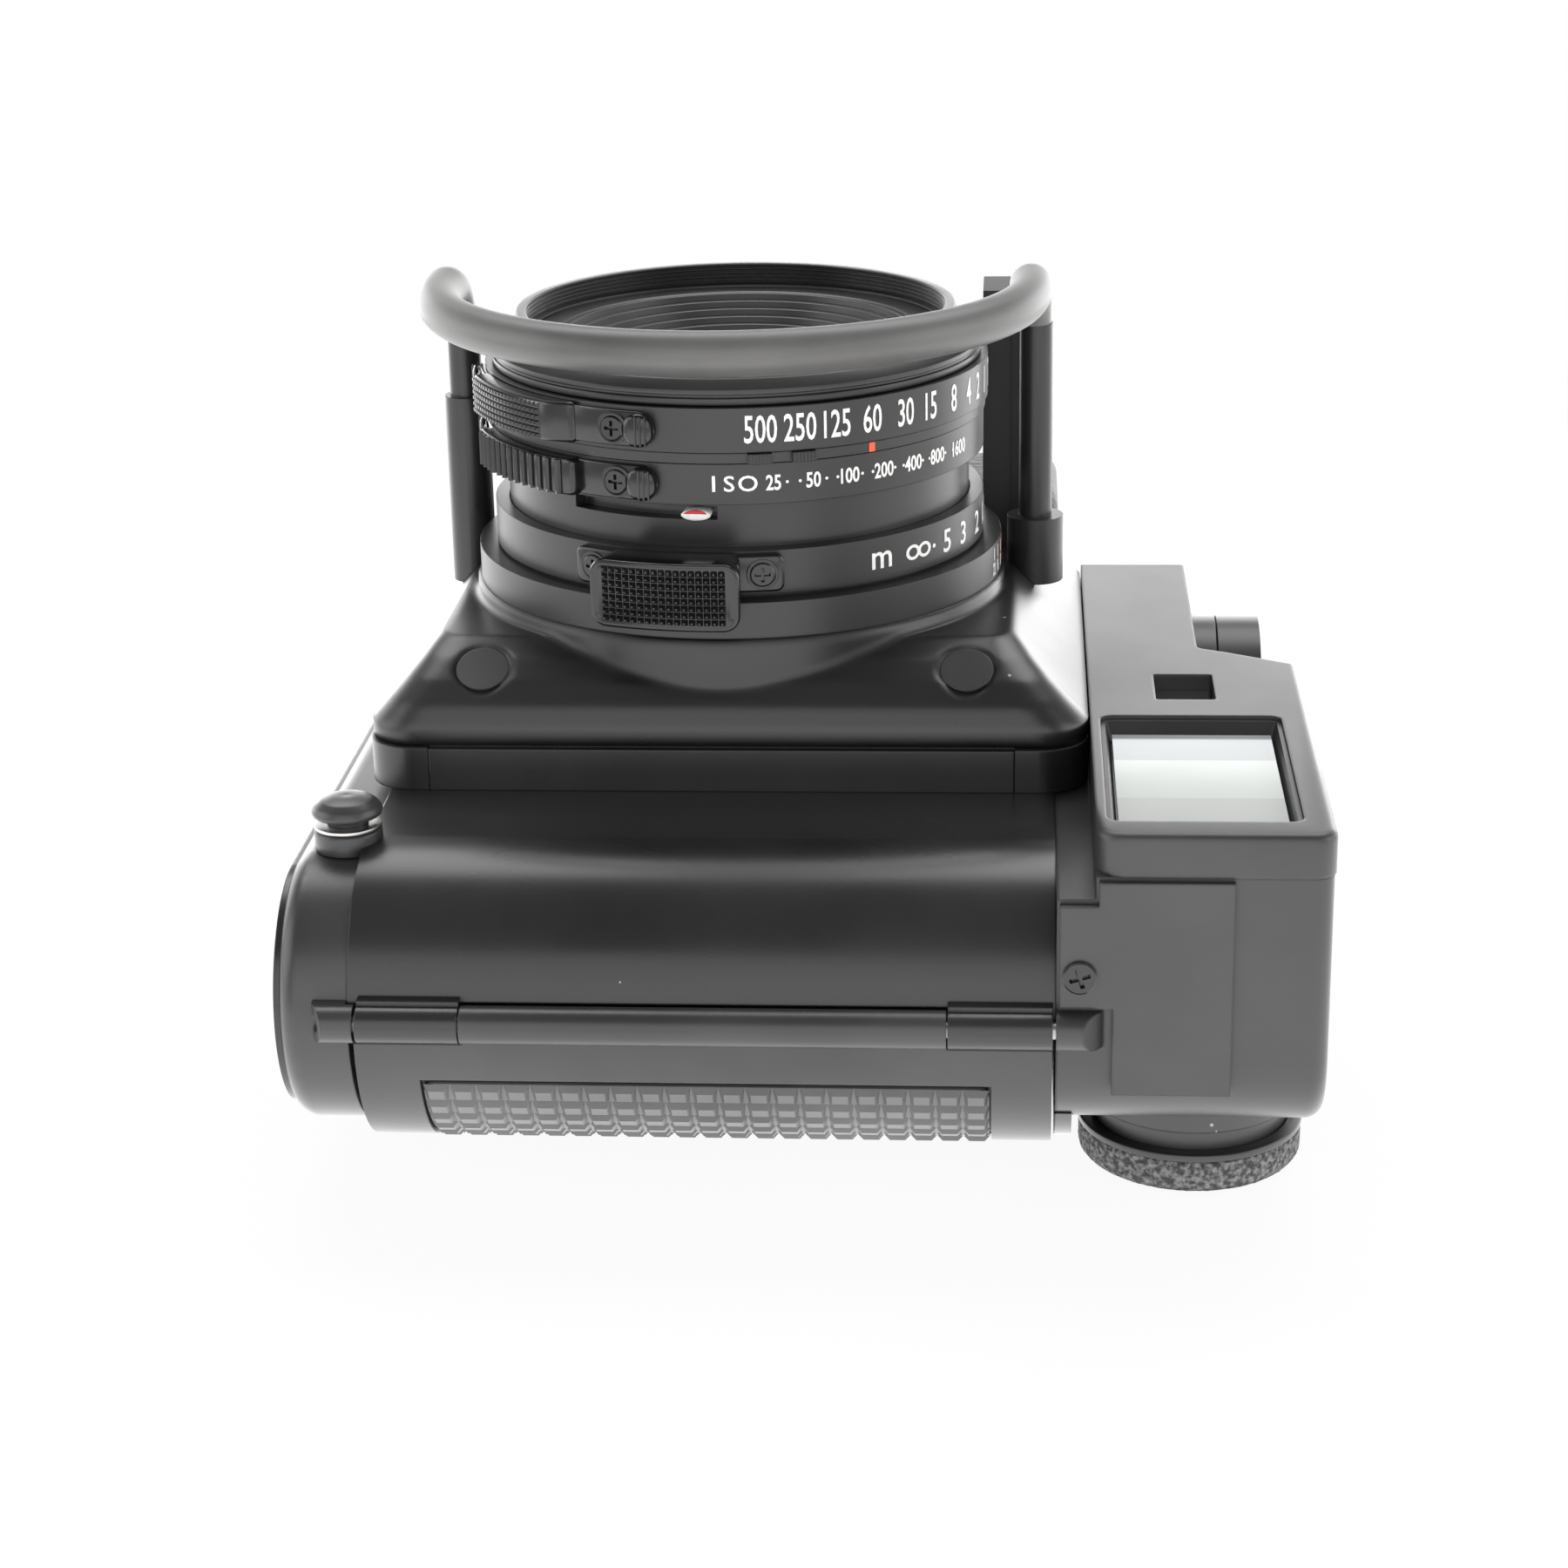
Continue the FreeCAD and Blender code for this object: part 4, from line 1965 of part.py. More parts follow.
node(
    "grip_pad",
    door_sector(
        "GripPad", pad_floor + seat_gap, door_radius + pad_proud, (pad_low, pad_high),
        pad_start + pad_slack, pad_end
    ),
)
latch_body = box(
    "LatchBody", (far_face - latch_rise, far_face + latch_depth - 0.12),
    (latch_y, latch_y + latch_width), (
        latch_low, latch_low + latch_length
    )
)
latch_ribs = [
    box(
        f"LatchRib{index}", (far_face - latch_rise - ledge, far_face - latch_rise), (
            latch_y, latch_y + latch_width
        ),
        (latch_low + 1.2 + index * 2, latch_low + 2 + index * 2),
    )
    for index in range(5)
]
node("door_latch", fuse("DoorLatch", latch_body, *latch_ribs))
guides = []
guide_pins = []
for number, across in enumerate((-guide_x, guide_x)):
    guides.append(
        rod(
            f"PlateSleeve{number}", "y", guide_radius + 1, (across, lens_height),
            (plate_y + plate_thickness, door_inside - plate_travel - part_gap),
        )
    )
    guide_pins.append(
        rod(
            f"PlateBore{number}", "y", guide_radius + running, (across, lens_height),
            (plate_y + plate_thickness, door_inside),
        )
    )
node("pressure_plate", cut("PressurePlate", fuse("PressurePlateWhole", plate_main, *guides), *guide_pins))
node(
    "hinge_pin",
    rod(
        "HingePin", "z", hinge_pin_radius, (hinge_x, hinge_y),
        (lug_low_start + lug_slant, casting_top + lug_length - lug_slant - small_step),
    ),
)

# Strap lugs: a mushroom stud with its washer, one below the near chamber and one on the far end
lug_cap_radius = size("lug_cap_radius", 3.9)
lug_cap_height = size("lug_cap_height", 2.4)
lug_neck = size("lug_neck", 1.2)
lug_collar_radius = size("lug_collar_radius", 3.7)
lug_collar_height = size("lug_collar_height", 2.4)


def strap_lug(name, axis, centre, seat, outward, depth):
    """Collar against the body, neck, cap, and a shank that goes into the body."""
    pieces = []
    at = seat
    for label, radius, length in (
        ("Collar", lug_collar_radius, lug_collar_height),
        ("Neck", lug_shank_radius, lug_neck),
        ("Cap", lug_cap_radius, lug_cap_height),
    ):
        following = at + length * outward
        span = (following, at) if outward < 0 else (at, following)
        pieces.append(rod(f"{name}{label}", axis, radius, centre, span))
        at = following
    inside = seat - depth * outward
    span = (seat, inside) if outward < 0 else (inside, seat)
    pieces.append(rod(f"{name}Shank", axis, lug_shank_radius, centre, span))
    return fuse(name, *pieces)


near_lug = strap_lug("NearLug", "y", (chamber_x, lug_height), lug_seat_y, -1, lug_shank_depth)
far_lug = strap_lug("FarLug", "x", (chamber_y, far_lug_z), far_face + small_step, -1, cover_wall)
near_lug_cut = cut(
    "NearLugCut", near_lug,
    rod(
        "NearLugTrim", "z", chamber_radius + seat_gap, (chamber_x, chamber_y),
        (casting_bottom, casting_top)
    ),
    box(
        "NearLugTrimFlat", (0, chamber_x), (body_front - seat_gap, chamber_y),
        (casting_bottom, casting_top)
    ),
)
node("strap_lugs", group("StrapLugs", near_lug_cut, far_lug))

# Screws of the covers
cover_screws = [
    screw_head("PanelScrew", "x", (panel_screw_y, panel_screw_z), cover_near_x + panel_depth, 1),
    *foot_screws,
]
node("cover_screws", group("CoverScrews", *cover_screws))

# Every object must have been made, and every sub-part must be a sound solid
doc.recompute()
for item in doc.Objects:
    if "Invalid" in item.State or "Error" in item.State:
        raise RuntimeError(f"{item.Name} ({item.Label}) failed: {item.State}")
for label, item in nodes.items():
    shape = item.Shape
    if shape.isNull() or not shape.isValid() or not shape.Solids:
        raise RuntimeError(f"{label} has no sound shape")
for label, item in nodes.items():
    item.Shape.exportStep(f"parts/{label}.step")
    print(label, len(item.Shape.Solids), round(item.Shape.Volume, 1))
print(len(nodes), "nodes")
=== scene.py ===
import bpy
import bmesh
import math
from mathutils import Matrix, Vector, noise


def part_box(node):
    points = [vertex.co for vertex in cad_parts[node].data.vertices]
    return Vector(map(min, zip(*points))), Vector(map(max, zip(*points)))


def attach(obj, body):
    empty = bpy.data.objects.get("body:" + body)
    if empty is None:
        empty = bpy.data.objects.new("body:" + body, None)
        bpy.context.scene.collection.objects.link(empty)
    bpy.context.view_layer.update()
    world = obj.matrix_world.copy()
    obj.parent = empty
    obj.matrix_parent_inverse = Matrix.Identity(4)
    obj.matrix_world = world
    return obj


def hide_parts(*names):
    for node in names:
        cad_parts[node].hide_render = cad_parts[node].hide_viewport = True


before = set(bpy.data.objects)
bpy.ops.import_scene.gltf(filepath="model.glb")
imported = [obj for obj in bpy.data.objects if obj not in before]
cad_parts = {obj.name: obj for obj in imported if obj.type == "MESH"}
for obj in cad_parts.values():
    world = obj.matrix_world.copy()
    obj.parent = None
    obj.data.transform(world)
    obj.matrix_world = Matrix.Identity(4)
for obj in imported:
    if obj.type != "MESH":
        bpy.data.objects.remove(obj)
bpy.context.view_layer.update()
mm = 0.001
lensZ = 45.5  # height of the lens axis, mm
print("stage: frame loaded")


class Wire:  # a socket whose operators add Math nodes
    def __init__(self, tree, socket):
        self.tree, self.socket = tree, socket

    def math(self, operation, other):
        return self.tree.add("ShaderNodeMath", {"operation": operation}, [self, other])

    def __add__(self, other):
        return self.math("ADD", other)

    def __mul__(self, other):
        return self.math("MULTIPLY", other)

    def __pow__(self, other):
        return self.math("POWER", other)

    def __gt__(self, other):
        return self.math("GREATER_THAN", other)

    def __lt__(self, other):
        return self.math("LESS_THAN", other)

    __radd__ = __add__


class Tree:  # nodes of one shader or geometry tree
    def __init__(self, tree):
        self.nodes, self.links = tree.nodes, tree.links
        self.nodes.clear()

    def add(self, kind, settings=None, inputs=None, out=0):
        node = self.nodes.new(kind)
        for name, value in (settings or {}).items():
            setattr(node, name, value)
        pairs = inputs.items() if isinstance(inputs, dict) else enumerate(inputs or [])
        for key, value in pairs:
            if isinstance(value, Wire):
                self.links.new(value.socket, node.inputs[key])
            elif value is not None:
                node.inputs[key].default_value = value
        return Wire(self, node.outputs[out]) if len(node.outputs) else None


class Paint(Tree):  # one material under construction
    def __init__(self, name):
        self.material = bpy.data.materials.new(name)
        self.material.use_nodes = True
        super().__init__(self.material.node_tree)
        self.place = self.add("ShaderNodeTexCoord", out="Object")

    def noise(self, scale, detail=3.0, rough=0.55, place=None):
        return self.add(
            "ShaderNodeTexNoise", None,
            {"Vector": place or self.place, "Scale": scale, "Detail": detail, "Roughness": rough},
        )

    def cells(self, scale, out="Distance", place=None):
        return self.add("ShaderNodeTexVoronoi", None, {"Vector": place or self.place, "Scale": scale}, out)

    def band(self, value, low, high, start=0.0, end=1.0):
        return self.add("ShaderNodeMapRange", None, {"Value": value, 1: low, 2: high, 3: start, 4: end})

    def mix(self, factor, first, second):
        return self.add("ShaderNodeMix", {"data_type": "RGBA"}, {0: factor, 6: first, 7: second}, 2)

    def part(self, axis):
        return self.add("ShaderNodeSeparateXYZ", None, [self.place], axis)

    def inside(self, axis, low, high):  # 1 between two places along an axis, metres
        along = self.part(axis)
        return (along > low) * (along < high)

    def bump(self, height, distance, strength=1.0, under=None):
        return self.add(
            "ShaderNodeBump", None,
            {"Height": height, "Distance": distance, "Strength": strength, "Normal": under},
        )

    def blend(self, factor, first, second):
        return self.add("ShaderNodeMixShader", None, {0: factor, 1: first, 2: second})

    def gloss(self, **sockets):  # Base_Color names the socket Base Color
        values = {name.replace("_", " "): value for name, value in sockets.items()}
        return self.add("ShaderNodeBsdfPrincipled", None, values)

    def close(self, shader):
        self.add("ShaderNodeOutputMaterial", None, {"Surface": shader})
        return self.material

    def finish(self, **sockets):
        return self.close(self.gloss(**sockets))


class Growth(Tree):  # a geometry tree with named inputs
    def __init__(self, name, sockets):
        self.group = bpy.data.node_groups.new(name, "GeometryNodeTree")
        super().__init__(self.group)
        self.keys = {}
        for label, kind in sockets.items():
            made = self.group.interface.new_socket(
                name=label, in_out="INPUT", socket_type="NodeSocket" + kind,
            )
            self.keys[label] = made.identifier
        self.group.interface.new_socket(name="Geometry", in_out="OUTPUT", socket_type="NodeSocketGeometry")
        source = self.nodes.new("NodeGroupInput")
        self.given = {label: Wire(self, source.outputs[label]) for label in sockets}

    def close(self, geometry):
        whole = self.add("GeometryNodeRealizeInstances", None, [geometry])
        painted = self.add(
            "GeometryNodeSetMaterial", None, {"Geometry": whole, "Material": self.given["Material"]},
        )
        self.add("NodeGroupOutput", None, [painted])

    def grow(self, finish, **values):  # the tree's result as a plain mesh
        host = bpy.data.objects.new("Growing", bpy.data.meshes.new("Growing"))
        bpy.context.scene.collection.objects.link(host)
        made = host.modifiers.new("Growth", "NODES")
        made.node_group = self.group
        made[self.keys["Material"]] = finishes[finish]
        for label, value in values.items():
            made[self.keys[label]] = value
        mesh = settled(host)
        host.modifiers.clear()
        bpy.data.objects.remove(host)
        return mesh


def settled(host):  # the mesh of an object with its modifiers applied
    return bpy.data.meshes.new_from_object(host.evaluated_get(bpy.context.evaluated_depsgraph_get()))


print("stage: node tools ready")


def grey(level, warm=0.0):
    return (level * (1 + warm), level, level * (1 - warm), 1.0)


blackLook = {  # what all the blacks share
    "patchScale": 38, "patch": 0.25, "dustScale": 230, "dustSize": 0.045, "dustShare": 0.12, "dustTone": 0.42,
    "dustCover": 0.75, "dustRough": 0.3, "roughSpread": (-0.04, 0.05), "grainStrength": 0.6,
}


def blackFinish(name, tone, rough, grain, depth, dust, warm=0.0, edge=0.25, relief=None):
    # moulded or stoved black: fine grain, slow changes of tone, a few dust specks, edges softened by edge mm
    paint, look = Paint(name), blackLook
    slow = paint.noise(look["patchScale"], 4)
    fine = paint.noise(grain, 2)
    cell = paint.cells(look["dustScale"])
    chosen = paint.add("ShaderNodeSeparateColor", None, [paint.cells(look["dustScale"], "Color")])
    speck = (cell < look["dustSize"]) * (chosen > (1 - dust * look["dustShare"]))
    dark, pale = grey(tone * (1 - look["patch"]), warm), grey(tone * (1 + look["patch"]), warm)
    base = paint.mix(paint.band(slow, 0.35, 0.65), dark, pale)
    colour = paint.mix(speck * look["dustCover"], base, grey(look["dustTone"]))
    least, most = (rough + change for change in look["roughSpread"])
    roughness = paint.band(slow, 0.3, 0.7, least, most) + speck * look["dustRough"]
    normal = None
    if edge:
        normal = paint.add("ShaderNodeBevel", {"samples": 8 if edge > 1 else 4}, {"Radius": edge * mm})
    if relief:
        normal, roughness = relief(paint, normal, roughness)
    normal = paint.bump(fine, depth, look["grainStrength"], normal)
    return paint.finish(Base_Color=colour, Roughness=roughness, Normal=normal)


leather = {  # the covering on the door, in metres
    "x": (-0.0585, 0.0405), "z": (0.0135, 0.0775), "behind": 0.0185, "grain": 1150, "depth": 0.00022, "rougher": 0.22,
}


def leatherPatch(paint, normal, roughness):
    # grained covering pressed into the flat back of the door
    across, up = paint.inside(0, *leather["x"]), paint.inside(2, *leather["z"])
    mask = across * up * (paint.part(1) > leather["behind"])
    grain = paint.cells(leather["grain"]) + paint.noise(leather["grain"] * 1.6, 3) * 0.5
    return paint.bump(grain * mask, leather["depth"], 0.8, normal), roughness + mask * leather["rougher"]


def gripSkin(paint, normal, roughness):
    # pebbled rubber of the hand grip
    return paint.bump(paint.cells(900) + paint.noise(2400, 2) * 0.4, 0.0002, 0.8, normal), roughness


foamLook = {"pores": 1700, "patches": 1500, "dark": 0.035, "pale": 0.17, "depth": 0.0003, "rough": 0.95}


def foamFinish():
    paint = Paint("EyecupFoam")
    pores = paint.cells(foamLook["pores"])
    tone = paint.noise(foamLook["patches"], 3)
    colour = paint.mix(paint.band(tone, 0.42, 0.62), grey(foamLook["dark"]), grey(foamLook["pale"]))
    normal = paint.bump(pores + tone, foamLook["depth"], 0.9)
    return paint.finish(Base_Color=colour, Roughness=foamLook["rough"], Normal=normal)


brushScale = (3000, 3000, 150)  # lines along z


def metalFinish(name, tone, rough, brushed=0.0, warm=0.0):
    paint = Paint(name)
    wear = paint.noise(120, 4)
    stretch = paint.add("ShaderNodeMapping", None, {"Vector": paint.place, "Scale": brushScale})
    lines = paint.noise(1, 2, place=stretch)
    colour = paint.mix(paint.band(wear, 0.35, 0.65), grey(tone * 0.85, warm), grey(tone, warm))
    roughness = paint.band(wear, 0.3, 0.7, rough, rough + 0.1)
    normal = paint.bump(lines, 0.00001, 0.2 + brushed)
    return paint.finish(Base_Color=colour, Metallic=1.0, Roughness=roughness, Normal=normal)


def darker(colour, share):
    return tuple(value * share for value in colour[:3]) + (1,)


def glassFinish(name, tint, rough, clear, coat=1.0, painted_shade_bands=()):
    # windows and lens glass, partly see-through; each band (from x, to x, colour) across the pane is painted shade, a
    # darker stripe standing for the view into the finder
    paint = Paint(name)
    smear = paint.noise(60, 3)
    colour = paint.mix(paint.band(smear, 0.4, 0.6), tint, darker(tint, 0.94))
    for low, high, shade in painted_shade_bands:
        colour = paint.mix(paint.inside(0, low, high), colour, shade)
    return paint.finish(
        Base_Color=colour, Roughness=paint.band(smear, 0.3, 0.7, rough, rough + 0.03),
        Transmission_Weight=clear, IOR=1.5, Coat_Weight=coat,
    )


def inkFinish(name, colour, rough=0.5):
    paint = Paint(name)
    wear = paint.noise(900, 3)
    base = paint.mix(paint.band(wear, 0.3, 0.5), darker(colour, 0.86), colour)
    return paint.finish(Base_Color=base, Roughness=rough)


# blacks: name, tone, roughness, grain scale, grain depth in metres, dust
# metals: name, tone, roughness, brushing, warmth
finishes = {
    "casting": blackFinish("CastingEnamel", 0.011, 0.27, 3400, 0.00001, 0.9),
    "cone": blackFinish("ConeEnamel", 0.011, 0.3, 3400, 0.00001, 0.9, edge=1.8),
    "shell": blackFinish("ShellPlastic", 0.028, 0.34, 3000, 0.000015, 0.4),
    "door": blackFinish("DoorPlastic", 0.026, 0.34, 3000, 0.000015, 0.4, relief=leatherPatch),
    "cover": blackFinish("CoverPlastic", 0.026, 0.36, 3600, 0.00002, 0.3, edge=0.5),
    "tab": blackFinish("TabPlastic", 0.005, 0.2, 3600, 0.000008, 0.9, edge=0.0),
    "lens": blackFinish("LensAnodised", 0.015, 0.34, 4200, 0.00001, 0.8, warm=0.01, edge=0.15),
    "inner": blackFinish("LensInside", 0.008, 0.4, 3600, 0.00001, 0.5, edge=0.0),
    "rubber": blackFinish("PadRubber", 0.08, 0.42, 1800, 0.00002, 0.3, edge=0.0),
    "grip": blackFinish("GripRubber", 0.02, 0.55, 1800, 0.00002, 0.2, relief=gripSkin),
    "guard": blackFinish("GuardRubber", 0.09, 0.42, 2600, 0.00001, 0.9, warm=0.02, edge=0.0),
    "screw": blackFinish("ScrewBlack", 0.008, 0.22, 2500, 0.000008, 0.0, edge=0.0),
    "trim": blackFinish("WindowTrim", 0.014, 0.4, 2600, 0.00001, 0.1, edge=0.1),
    "foam": foamFinish(),
    "stay": blackFinish("StayEnamel", 0.016, 0.6, 2600, 0.00001, 0.4, edge=0.0),
    "steel": metalFinish("SatinSteel", 0.5, 0.32, 0.2, 0.03),
    "shoe": metalFinish("ShoeSteel", 0.32, 0.42, 0.2, 0.02),
    "chrome": metalFinish("PolishedChrome", 0.75, 0.1),
    "brass": metalFinish("GearBrass", 0.5, 0.3, 0.1, 0.35),
    # painted shade: the two darker bands on the finder glass stand for the dim view into the finder
    "window": glassFinish("FinderGlass", (0.5, 0.53, 0.51, 1), 0.08, 0.0, 0.0, [
        (0.02, 0.0395, (0.3, 0.33, 0.34, 1)), (0.0515, 0.07, (0.42, 0.44, 0.42, 1)),
    ]),
    "clear": glassFinish("ClearCover", (0.9, 0.92, 0.92, 1), 0.03, 0.95),
    "darkWindow": glassFinish("DarkGlass", (0.01, 0.01, 0.012, 1), 0.05, 0.0),
    "coated": glassFinish("CoatedGlass", (0.02, 0.025, 0.05, 1), 0.02, 0.0),
    "white": inkFinish("WhiteKnob", (0.8, 0.8, 0.79, 1), 0.35),
    "ink": inkFinish("WhiteMarks", (0.82, 0.82, 0.8, 1)),
    "orange": inkFinish("OrangeMark", (0.85, 0.1, 0.03, 1)),
    "red": inkFinish("RedMark", (0.5, 0.015, 0.02, 1)),
}

# which finish each carried-over CAD node takes
nodeFinish = {
    "casting": [
        "body_casting", "top_chassis", "base_plate", "battery_cover", "lens_box_frame", "strap_lugs",
        "lens_box_panels",
    ],
    "stay": ["guard_stay"],
    "shoe": ["accessory_shoe"],
    "cone": ["lens_box_cone"],
    "shell": ["base_section", "lens_box_plugs", "door_latch"],
    "door": ["back_door"],
    "cover": ["top_cover", "side_panel", "finder_bezel", "eyepiece_tube"],
    "tab": ["focus_tab", "speed_tab", "exposure_tab"],
    "lens": [
        "base_ring", "focus_ring", "lens_tube", "speed_ring", "exposure_ring", "index_ring", "front_barrel",
        "iris_blades", "guard_posts", "release_collar", "advance_lever", "counter_dial", "pressure_plate",
        "supply_spool_knob", "takeup_spool",
    ],
    "inner": ["name_ring"],
    "grip": ["hand_grip"],
    "rubber": ["grip_pad"],
    "guard": ["guard_bow"],
    "screw": ["cover_screws", "focus_tab_screws", "speed_tab_screws", "exposure_tab_screws"],
    "foam": ["eyecup"],
    "steel": ["tripod_bush", "battery_cell", "hinge_pin", "supply_roller", "takeup_roller"],
    "chrome": ["shutter_button"],
    "brass": ["idler_gear", "takeup_drive"],
    "window": ["viewfinder_window", "finder_block", "eyepiece_lens"],
    "darkWindow": ["rangefinder_window"],
    "coated": ["front_element", "rear_element"],
    "white": ["sync_selector"],
}
finishOf = {node: finish for finish, names in nodeFinish.items() for node in names}
for node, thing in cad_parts.items():
    thing.data.materials.clear()
    thing.data.materials.append(finishes[finishOf[node]])
print("stage: finishes made, CAD nodes painted")


def piece(name, meshes, finish, body, replaced=(), degrees=32):
    # meshes in millimetres become one object at the origin, in metres, riding on a body;
    # edges sharper than degrees stay sharp
    shape = bmesh.new()
    for mesh in meshes if isinstance(meshes, (list, tuple)) else [meshes]:
        shape.from_mesh(mesh)
    whole = bpy.data.meshes.new(name)
    shape.to_mesh(whole)
    shape.free()
    whole.transform(Matrix.Scale(mm, 4))
    whole.materials.clear()
    whole.materials.append(finishes[finish])
    for face in whole.polygons:
        face.material_index = 0
    whole.shade_smooth()
    whole.set_sharp_from_angle(angle=math.radians(degrees))
    thing = bpy.data.objects.new(name, whole)
    bpy.context.scene.collection.objects.link(thing)
    if body is None:
        return thing
    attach(thing, body)
    if replaced:
        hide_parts(*replaced)
    return thing


def roundedProfile(points, soft):
    # corners of a turned section, each cut back and rounded with three points
    result, count = [], len(points)
    for index, point in enumerate(points):
        here = Vector(point)
        back = Vector(points[index - 1]) - here
        ahead = Vector(points[(index + 1) % count]) - here
        cut = min(soft, back.length * 0.4, ahead.length * 0.4)
        if cut < 0.01 or back.angle(ahead) > math.radians(165):
            result.append(tuple(point))
            continue
        first, last = here + back.normalized() * cut, here + ahead.normalized() * cut
        result.extend([tuple(first), tuple((first + last) * 0.25 + here * 0.5), tuple(last)])
    return result


def dense(points, step):
    # the same closed section with more points on its long runs
    result = []
    for index, point in enumerate(points):
        here, there = Vector(point), Vector(points[(index + 1) % len(points)])
        count = max(1, round((there - here).length / step))
        result.extend(tuple(here.lerp(there, part / count)) for part in range(count))
    return result


def closedMesh(shape, name):
    bmesh.ops.recalc_face_normals(shape, faces=shape.faces)
    mesh = bpy.data.meshes.new(name)
    shape.to_mesh(mesh)
    shape.free()
    return mesh


def turned(profile, soft=0.0, steps=128, centre=(0.0, lensZ), axis="Y", ripple=None):
    # a closed section (radius, along) turned round an axis; ripple = (scale, height, step) of an uneven surface
    points = roundedProfile(profile, soft) if soft else list(profile)
    points = dense(points, ripple[2]) if ripple else points
    shape = bmesh.new()
    rows = []
    for step in range(steps):
        angle = 2 * math.pi * step / steps
        row = []
        for radius, along in points:
            across, up = radius * math.cos(angle), radius * math.sin(angle)
            spot = Vector({
                "X": (along, centre[0] + across, centre[1] + up), "Y": (centre[0] + across, along, centre[1] + up),
                "Z": (centre[0] + across, centre[1] + up, along),
            }[axis])
            if ripple:
                spot += noise.noise_vector(spot * ripple[0]) * ripple[1]
            row.append(shape.verts.new(spot))
        rows.append(row)
    for step in range(steps):
        row, other = rows[step], rows[(step + 1) % steps]
        for index in range(len(points)):
            ahead = (index + 1) % len(points)
            shape.faces.new((row[index], row[ahead], other[ahead], other[index]))
    bmesh.ops.remove_doubles(shape, verts=shape.verts, dist=1e-5)
    return closedMesh(shape, "Turned")


def roundedOutline(x0, x1, y0, y1, corner, steps=5):
    points = []
    corners = (
        (x1 - corner, y1 - corner, 0), (x0 + corner, y1 - corner, 90), (x0 + corner, y0 + corner, 180),
        (x1 - corner, y0 + corner, 270),
    )
    for cx, cy, start in corners:
        for step in range(steps + 1):
            angle = math.radians(start + 90 * step / steps)
            points.append((cx + corner * math.cos(angle), cy + corner * math.sin(angle)))
    return points


def oval(halfX, halfY, steps=28, lowest=-2.0):
    # the points of an oval, down to the height lowest
    angles = [2 * math.pi * k / steps for k in range(steps)]
    spots = [(halfX * math.cos(angle), halfY * math.sin(angle)) for angle in angles]
    return [(x, y) for x, y in spots if y >= lowest]


def rounded(shape, edges, offset, segments):
    bmesh.ops.bevel(
        shape, geom=edges, offset=offset, segments=segments, profile=0.5, affect="EDGES", clamp_overlap=True,
    )


def plate(outline, low, high, soft=0.2, segments=3, recess=None, slices=None, top=None):
    # a flat outline raised from low to high with a rounded upper rim; recess = (margin, depth),
    # slices = spacing of cuts across x for bending, top = a function that gives each point its height
    shape = bmesh.new()
    base = shape.faces.new([shape.verts.new((x, y, low)) for x, y in outline])
    grown = bmesh.ops.extrude_face_region(shape, geom=[base])
    lid = [g for g in grown["geom"] if isinstance(g, bmesh.types.BMFace)][0]
    bmesh.ops.translate(shape, vec=(0, 0, high - low), verts=list(lid.verts))
    if not base.is_valid:
        shape.faces.new([v for v in shape.verts if abs(v.co.z - low) < 1e-6])
    rims = list(lid.edges)
    if recess:
        bmesh.ops.inset_region(shape, faces=[lid], thickness=recess[0], use_even_offset=True)
        bmesh.ops.translate(shape, vec=(0, 0, -recess[1]), verts=list(lid.verts))
    if soft:
        rounded(shape, rims, soft, segments)
    if slices:
        first, last = min(v.co.x for v in shape.verts), max(v.co.x for v in shape.verts)
        count = max(2, int((last - first) / slices))
        for step in range(1, count):
            everything = list(shape.verts) + list(shape.edges) + list(shape.faces)
            spot = (first + (last - first) * step / count, 0, 0)
            bmesh.ops.bisect_plane(shape, geom=everything, plane_co=spot, plane_no=(1, 0, 0))
    if top:
        for v in shape.verts:
            v.co.z = top(v.co.x, v.co.z)
    return closedMesh(shape, "Plate")


def hoop(outer, innerHigh, innerLow, low, high):
    # a frame between two outlines, its inner wall sloping from the high to the low one
    shape = bmesh.new()
    loops = [
        [shape.verts.new((x, y, z)) for x, y in outline]
        for outline, z in ((outer, low), (outer, high), (innerHigh, high), (innerLow, low))
    ]
    for index in range(4):
        one, two = loops[index], loops[(index + 1) % 4]
        for at in range(len(one)):
            after = (at + 1) % len(one)
            shape.faces.new((one[at], one[after], two[after], two[at]))
    return closedMesh(shape, "Hoop")


def bent(mesh, radius, degrees, along, centre=(0.0, lensZ), axis="Y"):
    # lays a flat mesh round a cylinder: x runs round it, y along it, z outward
    for v in mesh.vertices:
        angle = math.radians(degrees) + v.co.x / radius
        out = radius + v.co.z
        if axis == "Y":
            v.co = (centre[0] + out * math.cos(angle), along - v.co.y, centre[1] + out * math.sin(angle))
        else:
            v.co = (centre[0] + out * math.cos(angle), centre[1] + out * math.sin(angle), along + v.co.y)
    mesh.update()
    return mesh


def moved(mesh, x=0.0, y=0.0, z=0.0):
    mesh.transform(Matrix.Translation((x, y, z)))
    return mesh


def facing(mesh):
    # a flat mesh stood up to face the front of the camera: x across, y up, z toward the subject
    mesh.transform(Matrix(((1, 0, 0, 0), (0, 0, -1, 0), (0, 1, 0, 0), (0, 0, 0, 1))))
    return mesh


inkThick = 0.03  # height of every printed mark, mm


